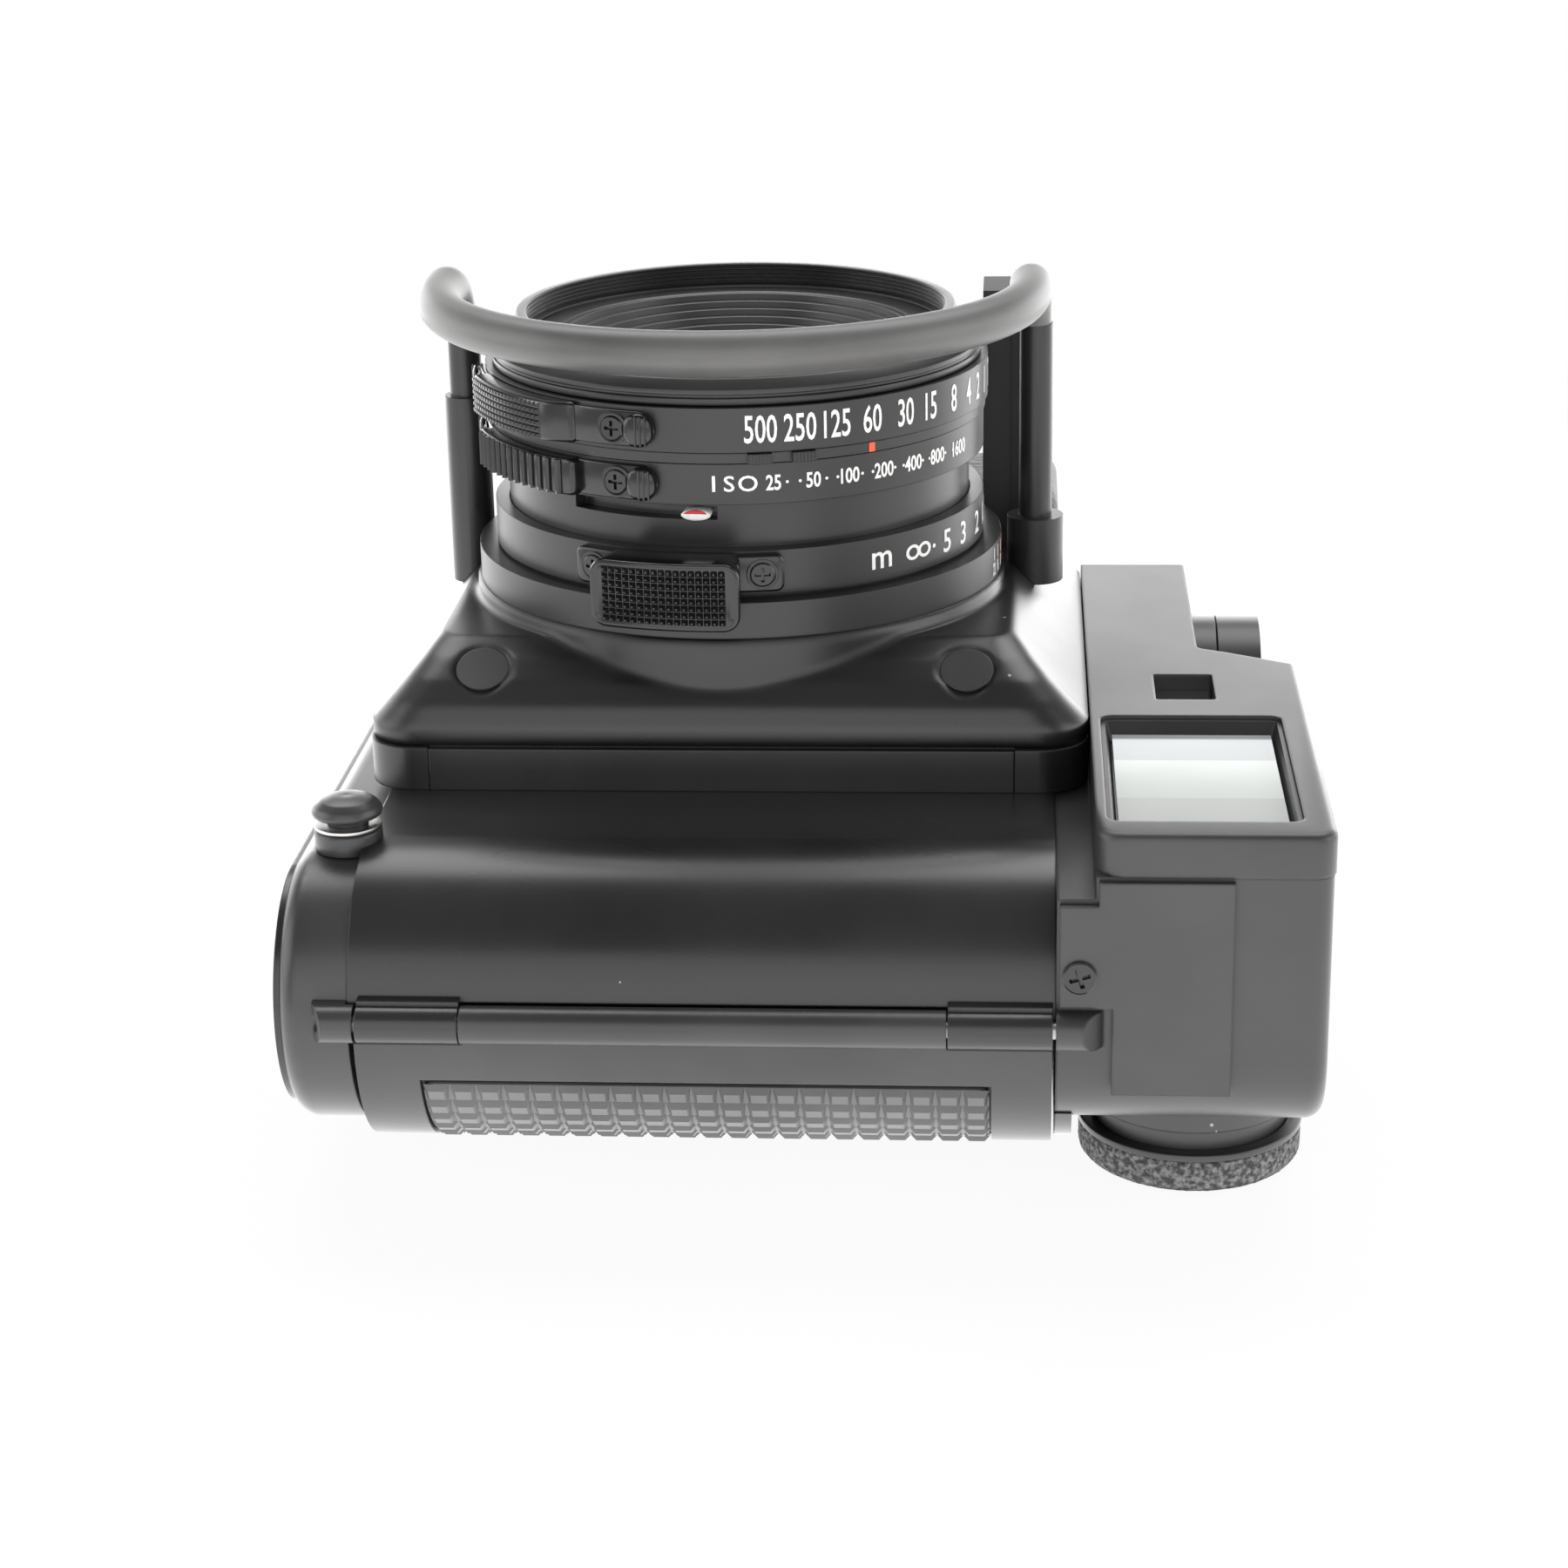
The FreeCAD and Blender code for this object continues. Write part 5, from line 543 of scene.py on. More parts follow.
def words(text, high, stretch, weight):
    # letters as a mesh, centred, high millimetres tall
    curve = bpy.data.curves.new("Words", "FONT")
    half = 0.01  # half the letters' thickness before they are sized
    curve.body, curve.size, curve.offset, curve.extrude = text, 1.0, weight, half
    curve.resolution_u = 3
    host = bpy.data.objects.new("Words", curve)
    bpy.context.scene.collection.objects.link(host)
    mesh = settled(host)
    bpy.data.objects.remove(host)
    xs, ys = [v.co.x for v in mesh.vertices], [v.co.y for v in mesh.vertices]
    size = high / (max(ys) - min(ys))
    middle = Vector(((max(xs) + min(xs)) / 2, (max(ys) + min(ys)) / 2, -half))
    grown = Matrix.Diagonal((size * stretch, size, inkThick / (2 * half), 1))
    mesh.transform(grown @ Matrix.Translation(-middle))
    return mesh


studs = Growth("StudField", {
    "Columns": "Int", "Rows": "Int", "Length": "Float", "Width": "Float", "Sides": "Int", "Foot": "Float",
    "Top": "Float", "Rise": "Float", "Turn": "Vector", "Tilt": "Vector", "Stretch": "Vector", "Shift": "Vector",
    "Material": "Material",
})


def buildStuds():
    # rows of cut-off cones: the treads, ribs and scales of every tab and pad
    given = studs.given
    field = studs.add("GeometryNodeMeshGrid", None, {
        "Size X": given["Length"], "Size Y": given["Width"],
        "Vertices X": given["Columns"], "Vertices Y": given["Rows"],
    })
    stud = studs.add("GeometryNodeMeshCone", None, {
        "Vertices": given["Sides"], "Radius Top": given["Top"], "Radius Bottom": given["Foot"],
        "Depth": given["Rise"],
    })
    stood = studs.add("GeometryNodeTransform", None, {"Geometry": stud, "Rotation": given["Turn"]})
    sized = studs.add("GeometryNodeTransform", None, {
        "Geometry": stood, "Translation": given["Shift"], "Rotation": given["Tilt"], "Scale": given["Stretch"],
    })
    studs.close(studs.add("GeometryNodeInstanceOnPoints", None, {"Points": field, "Instance": sized}))


buildStuds()


def pyramids(
    finish, columns, rows, pitch, rise, lift,
    stretch=(1.0, 1.0, 1.0), tilt=(0.0, 0.0, 0.0), top=0.16, pitchY=None,
):
    # square studs in rows; top = the width of their flat tops as a share of the pitch
    return studs.grow(
        finish, Columns=columns, Rows=rows, Length=pitch * (columns - 1), Width=(pitchY or pitch) * (rows - 1),
        Sides=4, Foot=pitch * 0.7, Top=pitch * top, Rise=rise, Turn=(0.0, 0.0, math.radians(45)), Tilt=tilt,
        Stretch=stretch, Shift=(0.0, 0.0, lift),
    )


def ribs(finish, columns, pitch, long, thick, rise, lift):
    # round-backed ribs side by side along x
    return studs.grow(
        finish, Columns=columns, Rows=1, Length=pitch * (columns - 1), Width=0.0, Sides=8, Foot=0.5, Top=0.5,
        Rise=1.0, Turn=(math.radians(90), 0.0, 0.0), Tilt=(0.0, 0.0, 0.0), Stretch=(thick, long, rise * 2),
        Shift=(0.0, long / 2, lift),
    )


def collarRing(x, radius, thick, low, high):  # raised ring round a screw
    section = [(radius, low), (radius + thick, low), (radius + thick, high), (radius, high)]
    return turned(section, 0.08, 28, (x, 0), "Z")


screwCross = {"arm": 0.62, "width": 0.13, "narrowed": 0.8, "rim": 0.12, "crown": 0.9}  # shares of the radius, rim in mm


def crossScrew(radius, low, high, depth=0.4):
    # a round head with a cross-shaped recess
    shape = bmesh.new()
    edges = []
    arm, width = screwCross["arm"], screwCross["width"]
    cross = [
        (w * u - h * v, w * v + h * u)
        for u, v in ((1, 0), (0, 1), (-1, 0), (0, -1))
        for w, h in ((arm, -width), (arm, width), (width, width))
    ]
    circle = [(math.cos(math.radians(15 * k)), math.sin(math.radians(15 * k))) for k in range(24)]
    loops = [
        [shape.verts.new((x * radius * part, y * radius * part, z)) for x, y in outline]
        for outline, part, z in (
            (circle, 1.0, low), (circle, 1.0, high - screwCross["rim"]), (circle, screwCross["crown"], high),
            (cross, 1.0, high), (cross, screwCross["narrowed"], high - depth),
        )
    ]
    for one, two in ((0, 1), (1, 2), (3, 4)):
        for at in range(len(loops[one])):
            after = (at + 1) % len(loops[one])
            shape.faces.new((loops[one][at], loops[one][after], loops[two][after], loops[two][at]))
    for loop in (loops[2], loops[3]):
        for at, vertex in enumerate(loop):
            edges.append(shape.edges.get((vertex, loop[(at + 1) % len(loop)])))
    bmesh.ops.triangle_fill(shape, edges=edges, use_beauty=True)
    shape.faces.new(loops[0])
    bmesh.ops.triangulate(shape, faces=[shape.faces.new(loops[4])])
    return closedMesh(shape, "CrossScrew")


print("stage: making tools ready")

bezel = {  # seen from the front; openings as low x, high x, low z, high z and corner radius
    "outline": [
        (-33.0, 86.8, 0.3), (66.5, 86.8, 3.0), (66.5, 111.3, 2.6), (8.5, 111.3, 1.2), (3.0, 100.0, 1.2),
        (-33.0, 100.0, 0.6),
    ],
    "front": 20.8, "back": 16.1, "floor": 18.2, "edge": 3.2, "wideX": 62.0, "wideZ": 109.5,
    "window": (28.3, 62.3, 87.9, 108.1, 1.4), "hole": (31.7, 60.3, 89.9, 106.1, 0.5),
    "small": (13.3, 22.6, 94.4, 101.2, 0.4),
}


def fillet(points, steps=6):
    # a polygon of (x, y, radius) with its corners turned to arcs
    result = []
    for index, (x, y, radius) in enumerate(points):
        here = Vector((x, y))
        back = (Vector(points[index - 1][:2]) - here).normalized()
        ahead = (Vector(points[(index + 1) % len(points)][:2]) - here).normalized()
        half = back.angle(ahead) / 2
        middle = here + (back + ahead).normalized() * (radius / math.sin(half))
        first, last = here + back * (radius / math.tan(half)), here + ahead * (radius / math.tan(half))
        for step in range(steps + 1):
            arm = (first - middle).lerp(last - middle, step / steps)
            result.append(tuple(middle + arm.normalized() * radius))
    return result


def carved(mesh, cutters):
    # the mesh with each cutter taken out of it
    host = bpy.data.objects.new("Carving", mesh)
    bpy.context.scene.collection.objects.link(host)
    tools = []
    for cutter in cutters:
        tool = bpy.data.objects.new("Cutter", cutter)
        bpy.context.scene.collection.objects.link(tool)
        change = host.modifiers.new("Cut", "BOOLEAN")
        change.operation, change.solver, change.object = "DIFFERENCE", "EXACT", tool
        tools.append(tool)
    whole = settled(host)
    host.modifiers.clear()
    for thing in [host] + tools:
        bpy.data.objects.remove(thing)
    return whole


def buildBezel():
    base = plate(fillet(bezel["outline"]), bezel["back"], bezel["front"], 0)
    shape = bmesh.new()
    shape.from_mesh(base)
    rims = [e for e in shape.edges if all(v.co.z > bezel["front"] - 0.01 for v in e.verts)]
    wide = [
        e for e in rims
        if min(v.co.x for v in e.verts) > bezel["wideX"] or min(v.co.y for v in e.verts) > bezel["wideZ"]
    ]
    rounded(shape, wide, bezel["edge"], 6)
    bmesh.ops.recalc_face_normals(shape, faces=shape.faces)
    shape.to_mesh(base)
    shape.free()
    cutters = [
        plate(roundedOutline(*bezel[opening]), low, bezel["front"] + 1, 0)
        for opening, low in (("window", bezel["floor"]), ("hole", bezel["back"] - 1), ("small", bezel["back"] - 1))
    ]
    whole = facing(carved(base, cutters))
    piece("finder_bezel_rounded", whole, "cover", "camera_body", ["finder_bezel"], 30)


bodyScrews = {
    "side": (67.0, -5.3, 85.2), "sideTurn": 0.3, "under": [(-44.0, 10.5), (12.0, 10.5), (-22.0, -5.5), (44.0, -5.5)],
    "underZ": 0.72, "radius": 1.8, "rise": 0.45,
}


def buildBodyScrews():
    side = crossScrew(bodyScrews["radius"], -0.1, bodyScrews["rise"], 0.5)
    turn = Matrix(((0, 0, 1, 0), (1, 0, 0, 0), (0, 1, 0, 0), (0, 0, 0, 1)))
    side.transform(Matrix.Translation(bodyScrews["side"]) @ turn @ Matrix.Rotation(bodyScrews["sideTurn"], 4, "Z"))
    meshes = [side]
    for x, y in bodyScrews["under"]:
        head = crossScrew(bodyScrews["radius"], 0.0, bodyScrews["rise"])
        head.transform(Matrix.Translation((x, y, bodyScrews["underZ"])) @ Matrix.Rotation(math.pi, 4, "X"))
        meshes.append(head)
    piece("body_screw_heads", meshes, "screw", "camera_body", ["cover_screws"], 30)


buildBezel()
buildBodyScrews()
print("stage: rounded bezel, body screws")

frontBarrel = {  # outline from the inside of the front round to the filter thread
    "outline": [
        (24.0, -59.4), (24.0, -58.02), (25.02, -57.9), (25.02, -56.45), (28.7, -56.45), (28.7, -57.2), (28.45, -57.3),
        (28.45, -57.55), (28.7, -57.65), (28.7, -58.2), (27.6, -59.2), (26.9, -59.4), (26.8, -59.75), (25.85, -60.8),
        (25.75, -61.8), (25.6, -62.0), (24.62, -62.0), (24.5, -61.88),
    ],
    "bore": 24.5, "threadTurns": 5, "threadPitch": 0.46, "threadDepth": 0.26, "threadStart": -61.75,
    "groove": (0.16, 0.22, 0.38), "steps": 192,
}


def buildFrontBarrel():
    bore, deep = frontBarrel["bore"], frontBarrel["bore"] + frontBarrel["threadDepth"]
    down, floor, up = frontBarrel["groove"]
    thread = []
    for turn in range(frontBarrel["threadTurns"]):
        at = frontBarrel["threadStart"] + turn * frontBarrel["threadPitch"]
        thread += [(bore, at), (deep, at + down), (deep, at + floor), (bore, at + up)]
    barrel = turned(thread + frontBarrel["outline"], 0.06, frontBarrel["steps"])
    piece("front_barrel_turned", barrel, "lens", "lens_barrel", ["front_barrel"], 24)


nameCone = {
    "ribs": 8, "outer": (20.8, -59.2), "inner": (12.22, -53.3), "back": -52.3, "steps": 192,
    "rim": [
        (20.8, -59.05), (21.1, -59.2), (23.75, -59.2), (23.9, -59.05), (23.9, -58.02), (20.9, -58.02), (20.9, -52.3),
    ],
}


def buildNameCone():
    # steps between the glass and the flat ring
    (r1, y1), (r0, y0) = nameCone["outer"], nameCone["inner"]
    count = nameCone["ribs"]
    stepR, stepY = (r1 - r0) / count, (y1 - y0) / count
    profile = [(r0, nameCone["back"])]
    for k in range(count):
        r, y = r0 + (r1 - r0) * k / count, y0 + (y1 - y0) * k / count
        profile += [(r, y), (r + stepR * 0.12, y + stepY * 0.9), (r + stepR * 0.42, y + stepY)]
    cone = turned(profile + nameCone["rim"], 0.05, nameCone["steps"])
    piece("name_ring_stepped", cone, "inner", "lens_barrel", ["name_ring"], 24)


buildFrontBarrel()
buildNameCone()
print("stage: lens front")

# tabs: radius of the ring, place along the axis and middle in degrees, then the half length of the ears,
# the block between them and the screws in degrees
speedTab = {
    "radius": 29.5, "along": -53.83, "middle": -49.5, "ear": 18.8, "block": (-10.55, 9.0), "wide": 2.3,
    "rise": 2.0, "slope": 0.36, "screws": (-78, -22.5),
}
exposureTab = {
    "radius": 29.0, "along": -47.64, "middle": -49.5, "ear": 18.5, "block": (-10.4, 8.85), "wide": 2.1,
    "rise": 2.1, "slope": 0.1, "screws": (-78, -22.5),
}
focusTab = {
    "radius": 29.0, "middle": -9.5, "ear": 11.9, "earHalf": 2.13, "stem": (7.1, 2.2), "earAlong": -37.67,
    "block": (8.3, 3.9), "blockRadius": 34.0, "along": -36.5, "screws": (-28.25, 9.25),
}
indexGrips = {"degrees": (9.3, 18.9), "radius": 29.88, "along": -50.63}


def buildRingTab(name, given, body, node, tread):
    radius, ear, wide = given["radius"], given["ear"], given["wide"]
    first, last = given["block"]
    meshes = [plate(roundedOutline(-ear, ear, -2.0, 2.0, 1.95), 0.02, 0.6, 0.2, slices=1.0)]
    for side in (-1, 1):
        low, high = sorted((side * (ear - 3.4), side * (ear - 0.1)))
        meshes.append(plate(roundedOutline(low, high, -1.9, 1.9, 1.5), 0.4, 1.5, 0.55, slices=0.8))
        meshes.append(moved(ribs("tab", 3, 0.55, 3.3, 0.26, 0.2, 1.42), side * (ear - 1.3)))
    meshes.append(plate(  # the block, sloping down over its last 3.2 mm
        roundedOutline(first, last, -wide, wide, 0.6), 0.3, given["rise"], 0.45, slices=0.9,
        top=lambda x, z: z - max(0.0, x - last + 3.2) * given["slope"] * (z > 0.7),
    ))
    for degrees in given["screws"]:
        meshes.append(collarRing(math.radians(degrees - given["middle"]) * radius, 1.45, 0.4, 0.5, 0.85))
    meshes.append(tread)
    meshes = [bent(mesh, radius, given["middle"], given["along"]) for mesh in meshes]
    piece(name, meshes, "tab", body, [node], 30)
    heads = [bent(crossScrew(1.4, 0.3, 1.0), radius, degrees, given["along"]) for degrees in given["screws"]]
    piece(node + "_screw_heads", heads, "screw", body, [node + "_screws"], 30)


def buildFocusTab():
    radius, middle, along = focusTab["radius"], focusTab["middle"], focusTab["earAlong"]
    ear, earHalf = focusTab["ear"], focusTab["earHalf"]
    stemX, stemY = focusTab["stem"]
    ears = plate(roundedOutline(-ear, ear, -earHalf, earHalf, 0.9), 0.02, 1.3, 0.35, slices=1.0)
    stem = plate(roundedOutline(-stemX, stemX, -stemY, stemY, 0.7), 0.3, 4.2, 0.4, slices=1.0)
    meshes = [bent(ears, radius, middle, along), bent(stem, radius, middle, along)]
    heads = []
    for degrees in focusTab["screws"]:
        place = math.radians(degrees - middle) * radius
        meshes.append(bent(collarRing(place, 1.4, 0.35, 1.2, 1.45), radius, middle, along))
        heads.append(bent(crossScrew(1.35, 0.9, 1.6), radius, degrees, along))
    piece("focus_tab_screw_heads", heads, "screw", "focus", ["focus_tab_screws"], 30)
    halfX, halfY = focusTab["block"]
    outline = roundedOutline(-halfX, halfX, -halfY, halfY, 1.8, 8)
    block = plate(outline, -2.2, 2.0, 0.75, 4, recess=(1.0, 0.4), slices=1.1)
    tread = pyramids("tab", 17, 8, 0.8, 0.5, 1.55)
    meshes += [bent(mesh, focusTab["blockRadius"], middle, focusTab["along"]) for mesh in (block, tread)]
    piece("focus_tab_shaped", meshes, "tab", "focus", ["focus_tab"], 30)


def buildIndexGrips():
    for number, degrees in enumerate(indexGrips["degrees"]):
        grip = bent(ribs("tab", 7, 0.4, 1.0, 0.22, 0.14, 0.0), indexGrips["radius"], degrees, indexGrips["along"])
        piece(f"index_grip_ribs_{number}", grip, "tab", "index")


checkered = moved(pyramids("tab", 22, 6, 0.7, 0.26, 1.97, (0.9, 0.9, 1.0), top=0.36), -2.6)
ribbed = moved(ribs("tab", 13, 1.35, 3.9, 0.72, 0.42, 2.02), -1.2)
buildRingTab("speed_tab_shaped", speedTab, "speed", "speed_tab", checkered)
buildRingTab("exposure_tab_shaped", exposureTab, "exposure", "exposure_tab", ribbed)
buildFocusTab()
buildIndexGrips()
print("stage: tabs")

selectorKnob = {"half": (1.62, 0.63), "radius": 27.0, "degrees": -5.2, "along": -43.97}


def buildSelector():
    halfX, halfY = selectorKnob["half"]
    place = [selectorKnob[k] for k in ("radius", "degrees", "along")]
    knob = plate(oval(halfX, halfY), -1.3, 1.5, 0.25, slices=0.6)
    piece("sync_selector_knob", bent(knob, *place), "white", "selector", ["sync_selector"])
    dot = plate(oval(halfX * 0.8, halfY * 0.98, lowest=0.05), 0.2, 1.54, 0.12)
    piece("sync_selector_mark", bent(dot, *place), "red", "selector")


buildSelector()

ringScales = {  # each mark with its place round the ring in degrees
    "speed": {
        "body": "speed", "radius": 29.5, "along": -53.95, "high": 3.15, "stretch": 0.58, "weight": 0.01,
        "marks": [
            ("500", 9.6), ("250", 18.2), ("125", 26.6), ("60", 35.2), ("30", 44.3), ("15", 52.2), ("8", 61.0),
            ("4", 68.3), ("2", 74.3), ("1", 80.6), ("T", 88.0),
        ],
    },
    "exposure": {
        "body": "exposure", "radius": 29.0, "along": -47.75, "high": 1.78, "stretch": 0.74, "weight": 0.02,
        "marks": [
            ("25", 12.3), ("50", 21.3), ("100", 30.0), ("200", 38.8), ("400", 47.4), ("800", 55.8), ("1600", 65.2),
        ],
        "dotGap": 3.05,
    },
    "film": {
        "body": "exposure", "radius": 29.0, "along": -47.75, "high": 1.8, "stretch": 1.15, "weight": 0.01,
        "marks": [("I", -0.8), ("S", 2.6), ("O", 6.7)],
    },
    "metres": {
        "body": "focus", "radius": 29.0, "along": -37.35, "high": 2.7, "stretch": 1.0, "weight": 0.01,
        "marks": [("m", 38.0), ("5", 59.6), ("3", 67.4), ("2", 77.3), ("1.5", 88.0), ("1.2", 97.0), ("1", 104.0)],
        "endless": 49.0, "dot": 54.3,
    },
    "depth": {
        "body": "camera_body", "radius": 31.14, "along": -31.7, "high": 1.5, "stretch": 0.6, "weight": 0.015,
        "marks": [("22", 77.2), ("16", 81.0), ("8", 85.4), ("8", 94.6), ("16", 99.0), ("22", 102.8)],
    },
}


def inkDot(size):
    return plate(oval(size, size, 14), 0.0, inkThick, 0)


def bar(wide, high):
    return plate(roundedOutline(-wide / 2, wide / 2, -high / 2, high / 2, 0.02, 1), 0.0, inkThick, 0)


def endlessSign():  # two rings side by side
    loops = []
    for side in (-0.92, 0.92):
        loop = turned([(0.55, 0.0), (0.9, 0.0), (0.9, inkThick), (0.55, inkThick)], 0.0, 22, (0.0, 0.0), "Z")
        loop.transform(Matrix.Diagonal((1.22, 1.0, 1, 1)))
        loops.append(moved(loop, side * 1.03))
    return loops


def buildScales():
    for name, given in ringScales.items():
        radius, along = given["radius"] + 0.01, given["along"]
        meshes = []
        for text, degrees in given["marks"]:
            high = given["high"] * (0.72 if text == "m" else 1.0)
            meshes.append(bent(words(text, high, given["stretch"], given["weight"]), radius, degrees, along))
        if name == "exposure":
            values = [degrees for _, degrees in given["marks"]]
            places = [v + given["dotGap"] for v in values[:-1]] + [v - given["dotGap"] for v in values[1:]]
            meshes += [bent(inkDot(0.17), radius, place, along) for place in places]
        if name == "metres":
            meshes += [bent(loop, radius, given["endless"], along) for loop in endlessSign()]
            meshes.append(bent(inkDot(0.26), radius, given["dot"], along))
        if name == "depth":
            meshes += [bent(bar(0.22, 1.5), radius, degrees, along - 1.75) for _, degrees in given["marks"]]
        piece("scale_" + name, meshes, "ink", given["body"])
    mark = plate(roundedOutline(-0.38, 0.38, -0.52, 0.52, 0.05, 2), 0.0, 0.06, 0)
    piece("index_mark", bent(mark, 29.2, 35.3, indexGrips["along"]), "orange", "index")
    piece("depth_mark", bent(bar(0.5, 3.2), 31.15, 90.0, -32.6), "orange", "camera_body")


buildScales()
print("stage: scales and marks")

gripPad = {  # on the near edge of the door
    "axis": (49.5, 2.7), "radius": 16.9, "middle": 49.9, "half": (8.85, 30.1), "level": 45.85, "columns": 7,
    "rows": 21, "lean": 7, "fill": 0.98, "top": 0.42,
}


def buildGripPad():
    halfX, halfY = gripPad["half"]
    pitchX, pitchY = 2 * halfX / gripPad["columns"], 2 * halfY / gripPad["rows"]
    base = plate(roundedOutline(-halfX, halfX, -halfY, halfY, 1.2), -0.55, -0.1, 0.12, slices=1.2)
    stretch = (gripPad["fill"], pitchY / pitchX * gripPad["fill"], 1.0)
    scales = pyramids(
        "rubber", gripPad["columns"], gripPad["rows"], pitchX, 0.62, -0.25, stretch,
        (0.0, math.radians(gripPad["lean"]), 0.0), gripPad["top"], pitchY,
    )
    meshes = [
        bent(mesh, gripPad["radius"], gripPad["middle"], gripPad["level"], gripPad["axis"], "Z")
        for mesh in (base, scales)
    ]
    piece("grip_pad_scales", meshes, "rubber", "door", ["grip_pad"], 20)


buildGripPad()

finderWindow = {
    "x": (28.35, 62.25), "z": (87.95, 108.05), "front": 20.35, "back": 18.45, "lip": 0.5, "slope": 1.5, "corner": 0.4,
}


def buildWindowFrame():
    (x0, x1), (z0, z1) = finderWindow["x"], finderWindow["z"]
    lip, slope, corner = finderWindow["lip"], finderWindow["slope"], finderWindow["corner"]
    outer = roundedOutline(x0, x1, z0, z1, corner, 3)
    high = roundedOutline(x0 + lip, x1 - lip, z0 + lip, z1 - lip, corner, 3)
    inX, inZ = lip + slope, lip + slope * 0.4
    low = roundedOutline(x0 + inX, x1 - inX, z0 + inZ, z1 - inZ, corner, 3)
    frameMesh = facing(hoop(outer, high, low, finderWindow["back"], finderWindow["front"]))
    piece("window_surround", frameMesh, "trim", "camera_body")


buildWindowFrame()

eyecup = {  # sections (radius, y) of the foam and of the seat under it
    "centre": (45.0, 98.0), "ripple": (2.3, 0.07, 0.45),
    "foam": [(7.7, 20.5), (12.1, 20.5), (12.3, 21.0), (12.3, 23.5), (11.5, 24.35), (8.7, 24.4), (7.7, 23.5)],
    "seat": [(10.95, 19.6), (12.35, 19.6), (12.45, 19.75), (12.45, 20.3), (12.35, 20.42), (10.95, 20.42)],
}


def buildEyecup():
    foam = turned(eyecup["foam"], 0.5, 200, eyecup["centre"], "Y", eyecup["ripple"])
    cup = piece("eyecup_foam", foam, "foam", "camera_body", ["eyecup"], 60)
    piece("eyecup_seat", turned(eyecup["seat"], 0.1, 96, eyecup["centre"]), "lens", "camera_body")


lugShape = {  # sections along each stud from its outer end
    "stud": [
        (0.0, 0.0), (1.5, 0.05), (2.8, 0.4), (3.55, 1.0), (3.88, 1.65), (3.75, 2.1), (3.2, 2.35), (2.2, 2.4),
        (2.2, 3.6), (3.4, 3.6), (3.7, 3.85), (3.7, 6.0), (0.0, 6.0),
    ],
    "washer": [(2.25, 3.12), (3.68, 3.12), (3.68, 3.5), (2.25, 3.5)],
    "near": (49.5, 6.2), "nearEnd": -18.5, "far": (2.7, 92.0),
}


def buildLugs():
    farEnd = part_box("strap_lugs")[0][0] / mm
    for part, finish, soft in (("stud", "shell", 0.12), ("washer", "steel", 0.1)):
        meshes = [
            moved(turned(lugShape[part], soft, 56, lugShape["near"], "Y"), y=lugShape["nearEnd"]),
            moved(turned(lugShape[part], soft, 56, lugShape["far"], "X"), x=farEnd),
        ]
        piece("strap_lug_" + part, meshes, finish, "camera_body", ["strap_lugs"] if part == "stud" else [], 34)


topDetails = {
    "dialCentre": (-20.3, -2.0), "dialTop": 97.7, "dialRadius": 5.9, "pitch": 16.5,
    "numbers": ["S"] + [str(n) for n in range(1, 13)], "numberHigh": 1.35,
    "windowPane": (-28.6, -23.8, -4.2, 0.2, 1.2), "paneLow": 100.0, "paneHigh": 100.45, "leverTip": (-29.4, 9.2, 105.2),
}


def buildTopDetails():
    (cx, cy), radius = topDetails["dialCentre"], topDetails["dialRadius"]
    marks = []
    for index, text in enumerate(topDetails["numbers"]):
        angle = math.radians(180 - index * topDetails["pitch"])
        mark = words(text, topDetails["numberHigh"], 0.75, 0.01)
        mark.transform(Matrix.Rotation(angle + math.pi, 4, "Z"))
        place = (cx + radius * math.cos(angle), cy + radius * math.sin(angle), topDetails["dialTop"])
        marks.append(moved(mark, *place))
    piece("counter_numbers", marks, "ink", "counter")
    pane = plate(roundedOutline(*topDetails["windowPane"]), topDetails["paneLow"], topDetails["paneHigh"], 0.3)
    piece("counter_window", pane, "clear", "camera_body")
    treads = ribs("lens", 6, 0.9, 6.4, 0.45, 0.22, 0.0)
    piece("lever_tip_ribs", moved(treads, *topDetails["leverTip"]), "lens", "lever")


buildEyecup()
buildLugs()
buildTopDetails()
print("stage: grip pad, window, eyepiece, lugs, top")

stageSettings = {  # lengths in mm, the fades in metres and as a height of 0 to 1
    "floorY": 24.6, "floorHalf": 900.0, "floorTone": 0.9, "glow": 0.93, "glowFade": (0.16, 0.4), "world": 0.3,
    "ceiling": 0.12, "ceilingFade": (0.05, 0.7), "lens": 75.77, "sensor": 36.0, "cameraPlace": (381.32, -139.43, 78.38),
    "right": (-0.06735, 0.01859, 0.99756), "down": (0.33828, 0.94102, 0.00530),
    "forward": (-0.93863, 0.33782, -0.06967),
}
whiteRays = ("Is Camera Ray", "Is Glossy Ray", "Is Transmission Ray")
panels = {  # place, aim, width, height (mm), power (W)
    "FarPanel": ((-290, -58, 45), (200, -58, 45), 160, 520, 0.75),
    "FarLeftPanel": ((-190, -60, -190), (0, -60, 45), 160, 260, 0.3),
    "FarRightPanel": ((-190, -60, 280), (0, -60, 45), 160, 260, 0.3),
    "TopPanel": ((-330, -640, 45), (0, -10, 45), 400, 900, 5.0),
    "NearPanel": ((640, -230, 45), (0, -150, 45), 500, 900, 2.1),
    "LeftPanel": ((120, -200, -560), (10, -20, 45), 420, 520, 1.6),
    "RightPanel": ((120, -200, 660), (10, -20, 45), 420, 520, 1.6),
    "TablePanel": ((40, 24.2, 45), (40, -600, 45), 560, 560, 1.5),
}


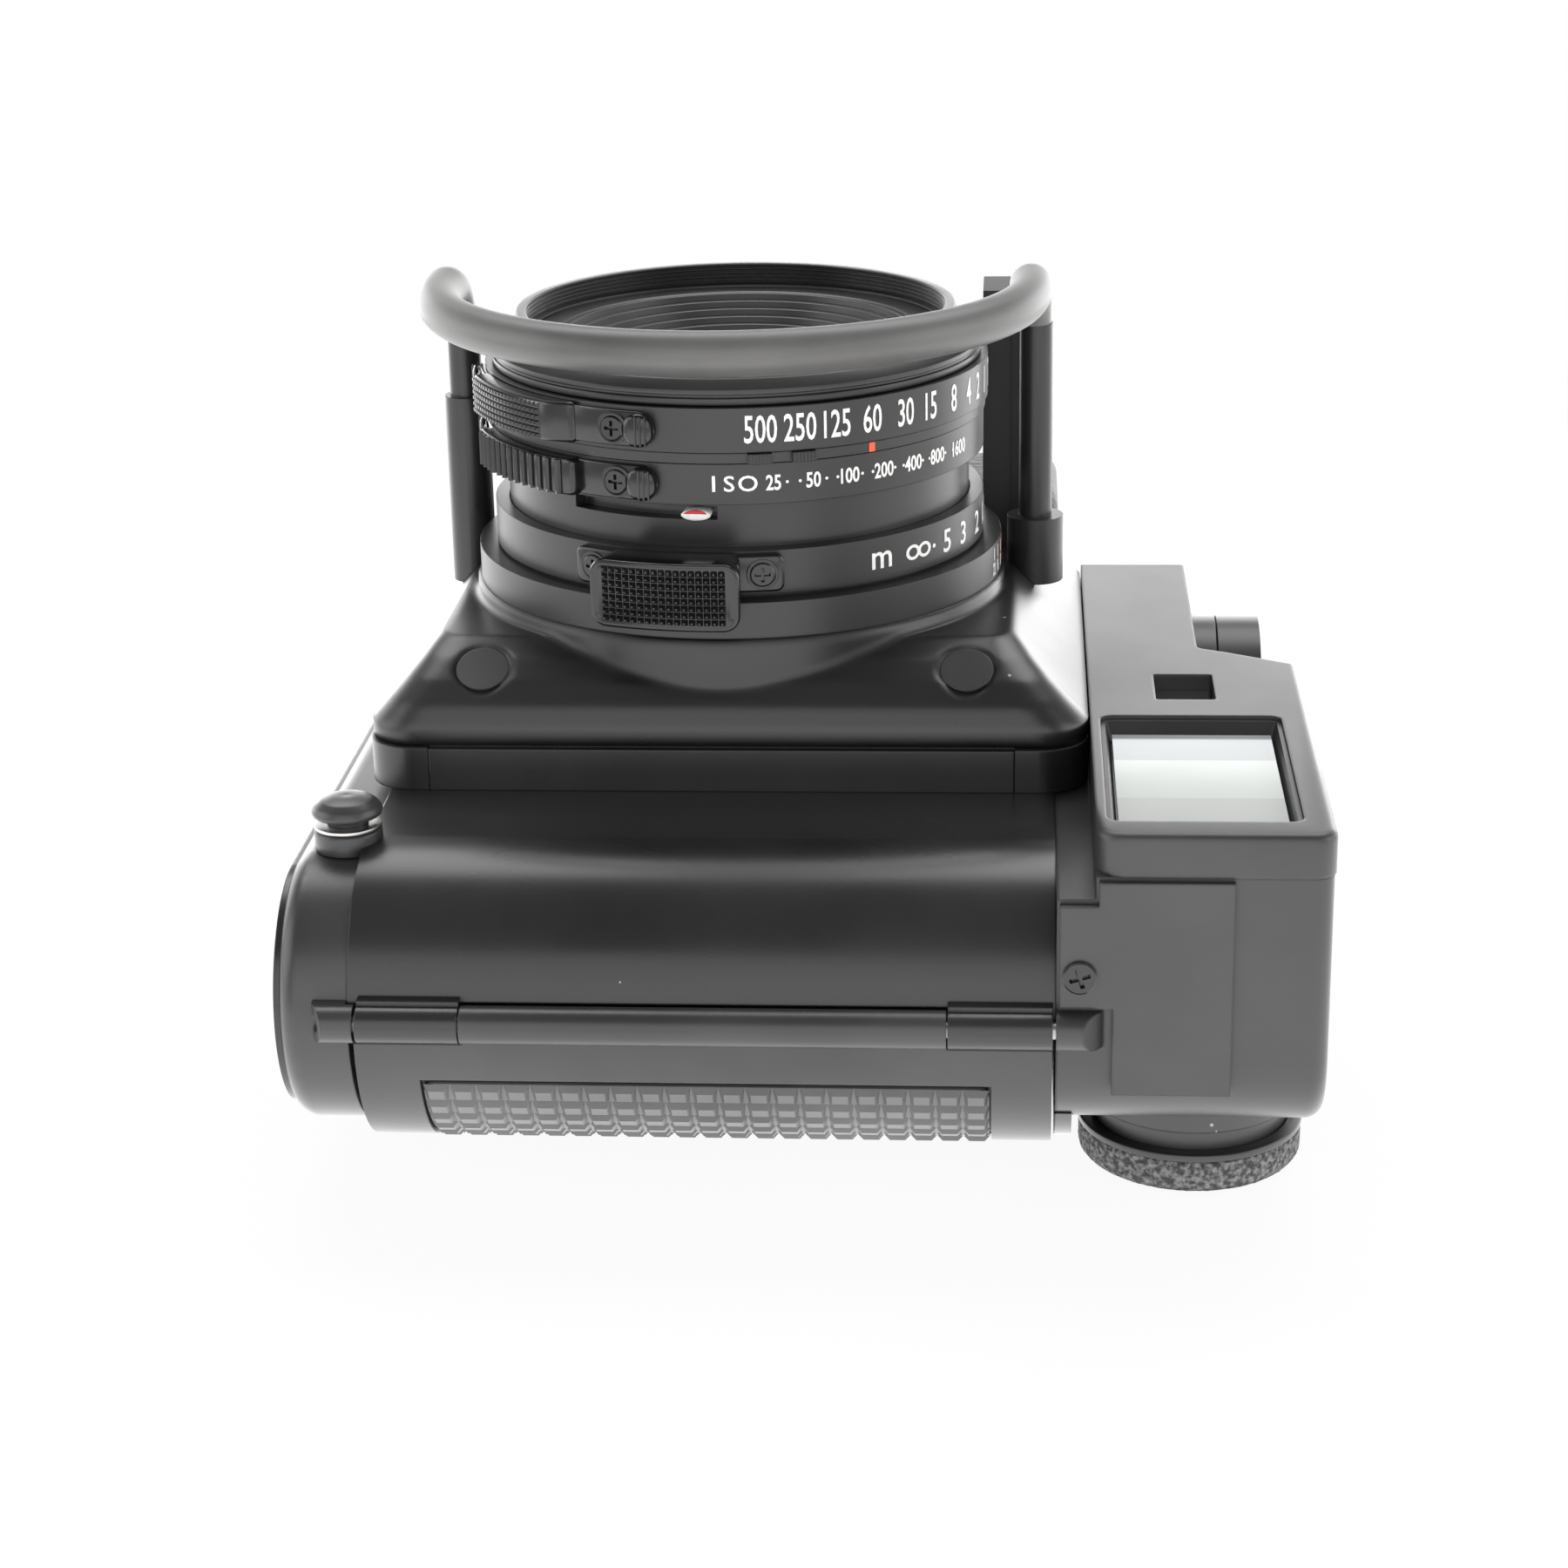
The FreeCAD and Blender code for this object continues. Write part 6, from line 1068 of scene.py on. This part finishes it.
def floorFinish():
    # white paper: seen by the camera and in reflections as white, and keeping the object's shadow
    paint = Paint("FloorPaper")
    tone = stageSettings["floorTone"]
    colour = paint.mix(paint.band(paint.noise(3, 3), 0.4, 0.6), grey(tone), grey(tone + 0.02))
    away = (paint.part(0) ** 2 + paint.part(2) ** 2) ** 0.5
    path = paint.nodes.new("ShaderNodeLightPath")
    seen = sum((Wire(paint, path.outputs[name]) for name in whiteRays), 0.0)
    white = paint.add("ShaderNodeEmission", None, {"Color": (1, 1, 1, 1), "Strength": 1.0})
    share = paint.band(away, *stageSettings["glowFade"], stageSettings["glow"], 1.0)
    lit = paint.blend(seen * share, paint.gloss(Base_Color=colour, Roughness=0.9), white)
    side = paint.add("ShaderNodeNewGeometry", out="Backfacing")
    return paint.close(paint.blend(side, lit, paint.add("ShaderNodeBsdfTransparent")))


def buildStage():
    half, y = stageSettings["floorHalf"], stageSettings["floorY"]
    mesh = bpy.data.meshes.new("FloorMesh")
    corners = [(-half, y, -half), (half, y, -half), (half, y, half), (-half, y, half)]
    mesh.from_pydata(corners, [], [(0, 1, 2, 3)])
    finishes["floor"] = floorFinish()
    piece("Floor", mesh, "floor", None)
    world = bpy.data.worlds.new("Studio")
    bpy.context.scene.world = world
    world.use_nodes = True
    sky = Tree(world.node_tree)
    path = sky.nodes.new("ShaderNodeLightPath")
    camera, glossy, through = (Wire(sky, path.outputs[name]) for name in whiteRays)
    up = sky.add("ShaderNodeSeparateXYZ", None, [sky.add("ShaderNodeNewGeometry", out="Incoming")], 1)
    start, end = stageSettings["ceilingFade"]
    fade = sky.add("ShaderNodeMapRange", None, {"Value": up, 1: start, 2: end, 3: 1.0, 4: stageSettings["ceiling"]})
    shown = camera + through + glossy * fade  # reflections see the white backdrop, dim toward the ceiling
    light = sky.add("ShaderNodeMapRange", None, {"Value": shown, 1: 0.0, 2: 1.0, 3: stageSettings["world"], 4: 1.0})
    backdrop = sky.add("ShaderNodeBackground", None, {"Color": (1, 1, 1, 1), "Strength": light})
    sky.add("ShaderNodeOutputWorld", None, {"Surface": backdrop})


def panelLight(name, place, aim, width, height, power):
    lamp = bpy.data.lights.new(name, "AREA")
    lamp.shape = "RECTANGLE"
    lamp.size, lamp.size_y, lamp.energy = width * mm, height * mm, power
    thing = bpy.data.objects.new(name, lamp)
    bpy.context.scene.collection.objects.link(thing)
    thing.location = Vector(place) * mm
    thing.rotation_mode = "QUATERNION"
    thing.rotation_quaternion = (Vector(aim) * mm - thing.location).to_track_quat("-Z", "Y")
    thing.visible_camera = False


def buildCamera():
    data = bpy.data.cameras.new("PhotoCamera")
    data.lens, data.sensor_width = stageSettings["lens"], stageSettings["sensor"]
    data.clip_start, data.clip_end = 0.01, 20
    camera = bpy.data.objects.new("PhotoCamera", data)
    bpy.context.scene.collection.objects.link(camera)
    right, down, forward = (Vector(stageSettings[k]) for k in ("right", "down", "forward"))
    turn = Matrix((right, -down, -forward)).transposed()
    camera.matrix_world = Matrix.Translation(Vector(stageSettings["cameraPlace"]) * mm) @ turn.to_4x4()
    bpy.context.scene.camera = camera


buildStage()
for name, given in panels.items():
    panelLight(name, *given)
buildCamera()
bpy.context.scene.view_settings.view_transform = "Standard"
print("stage: floor, light and camera made")
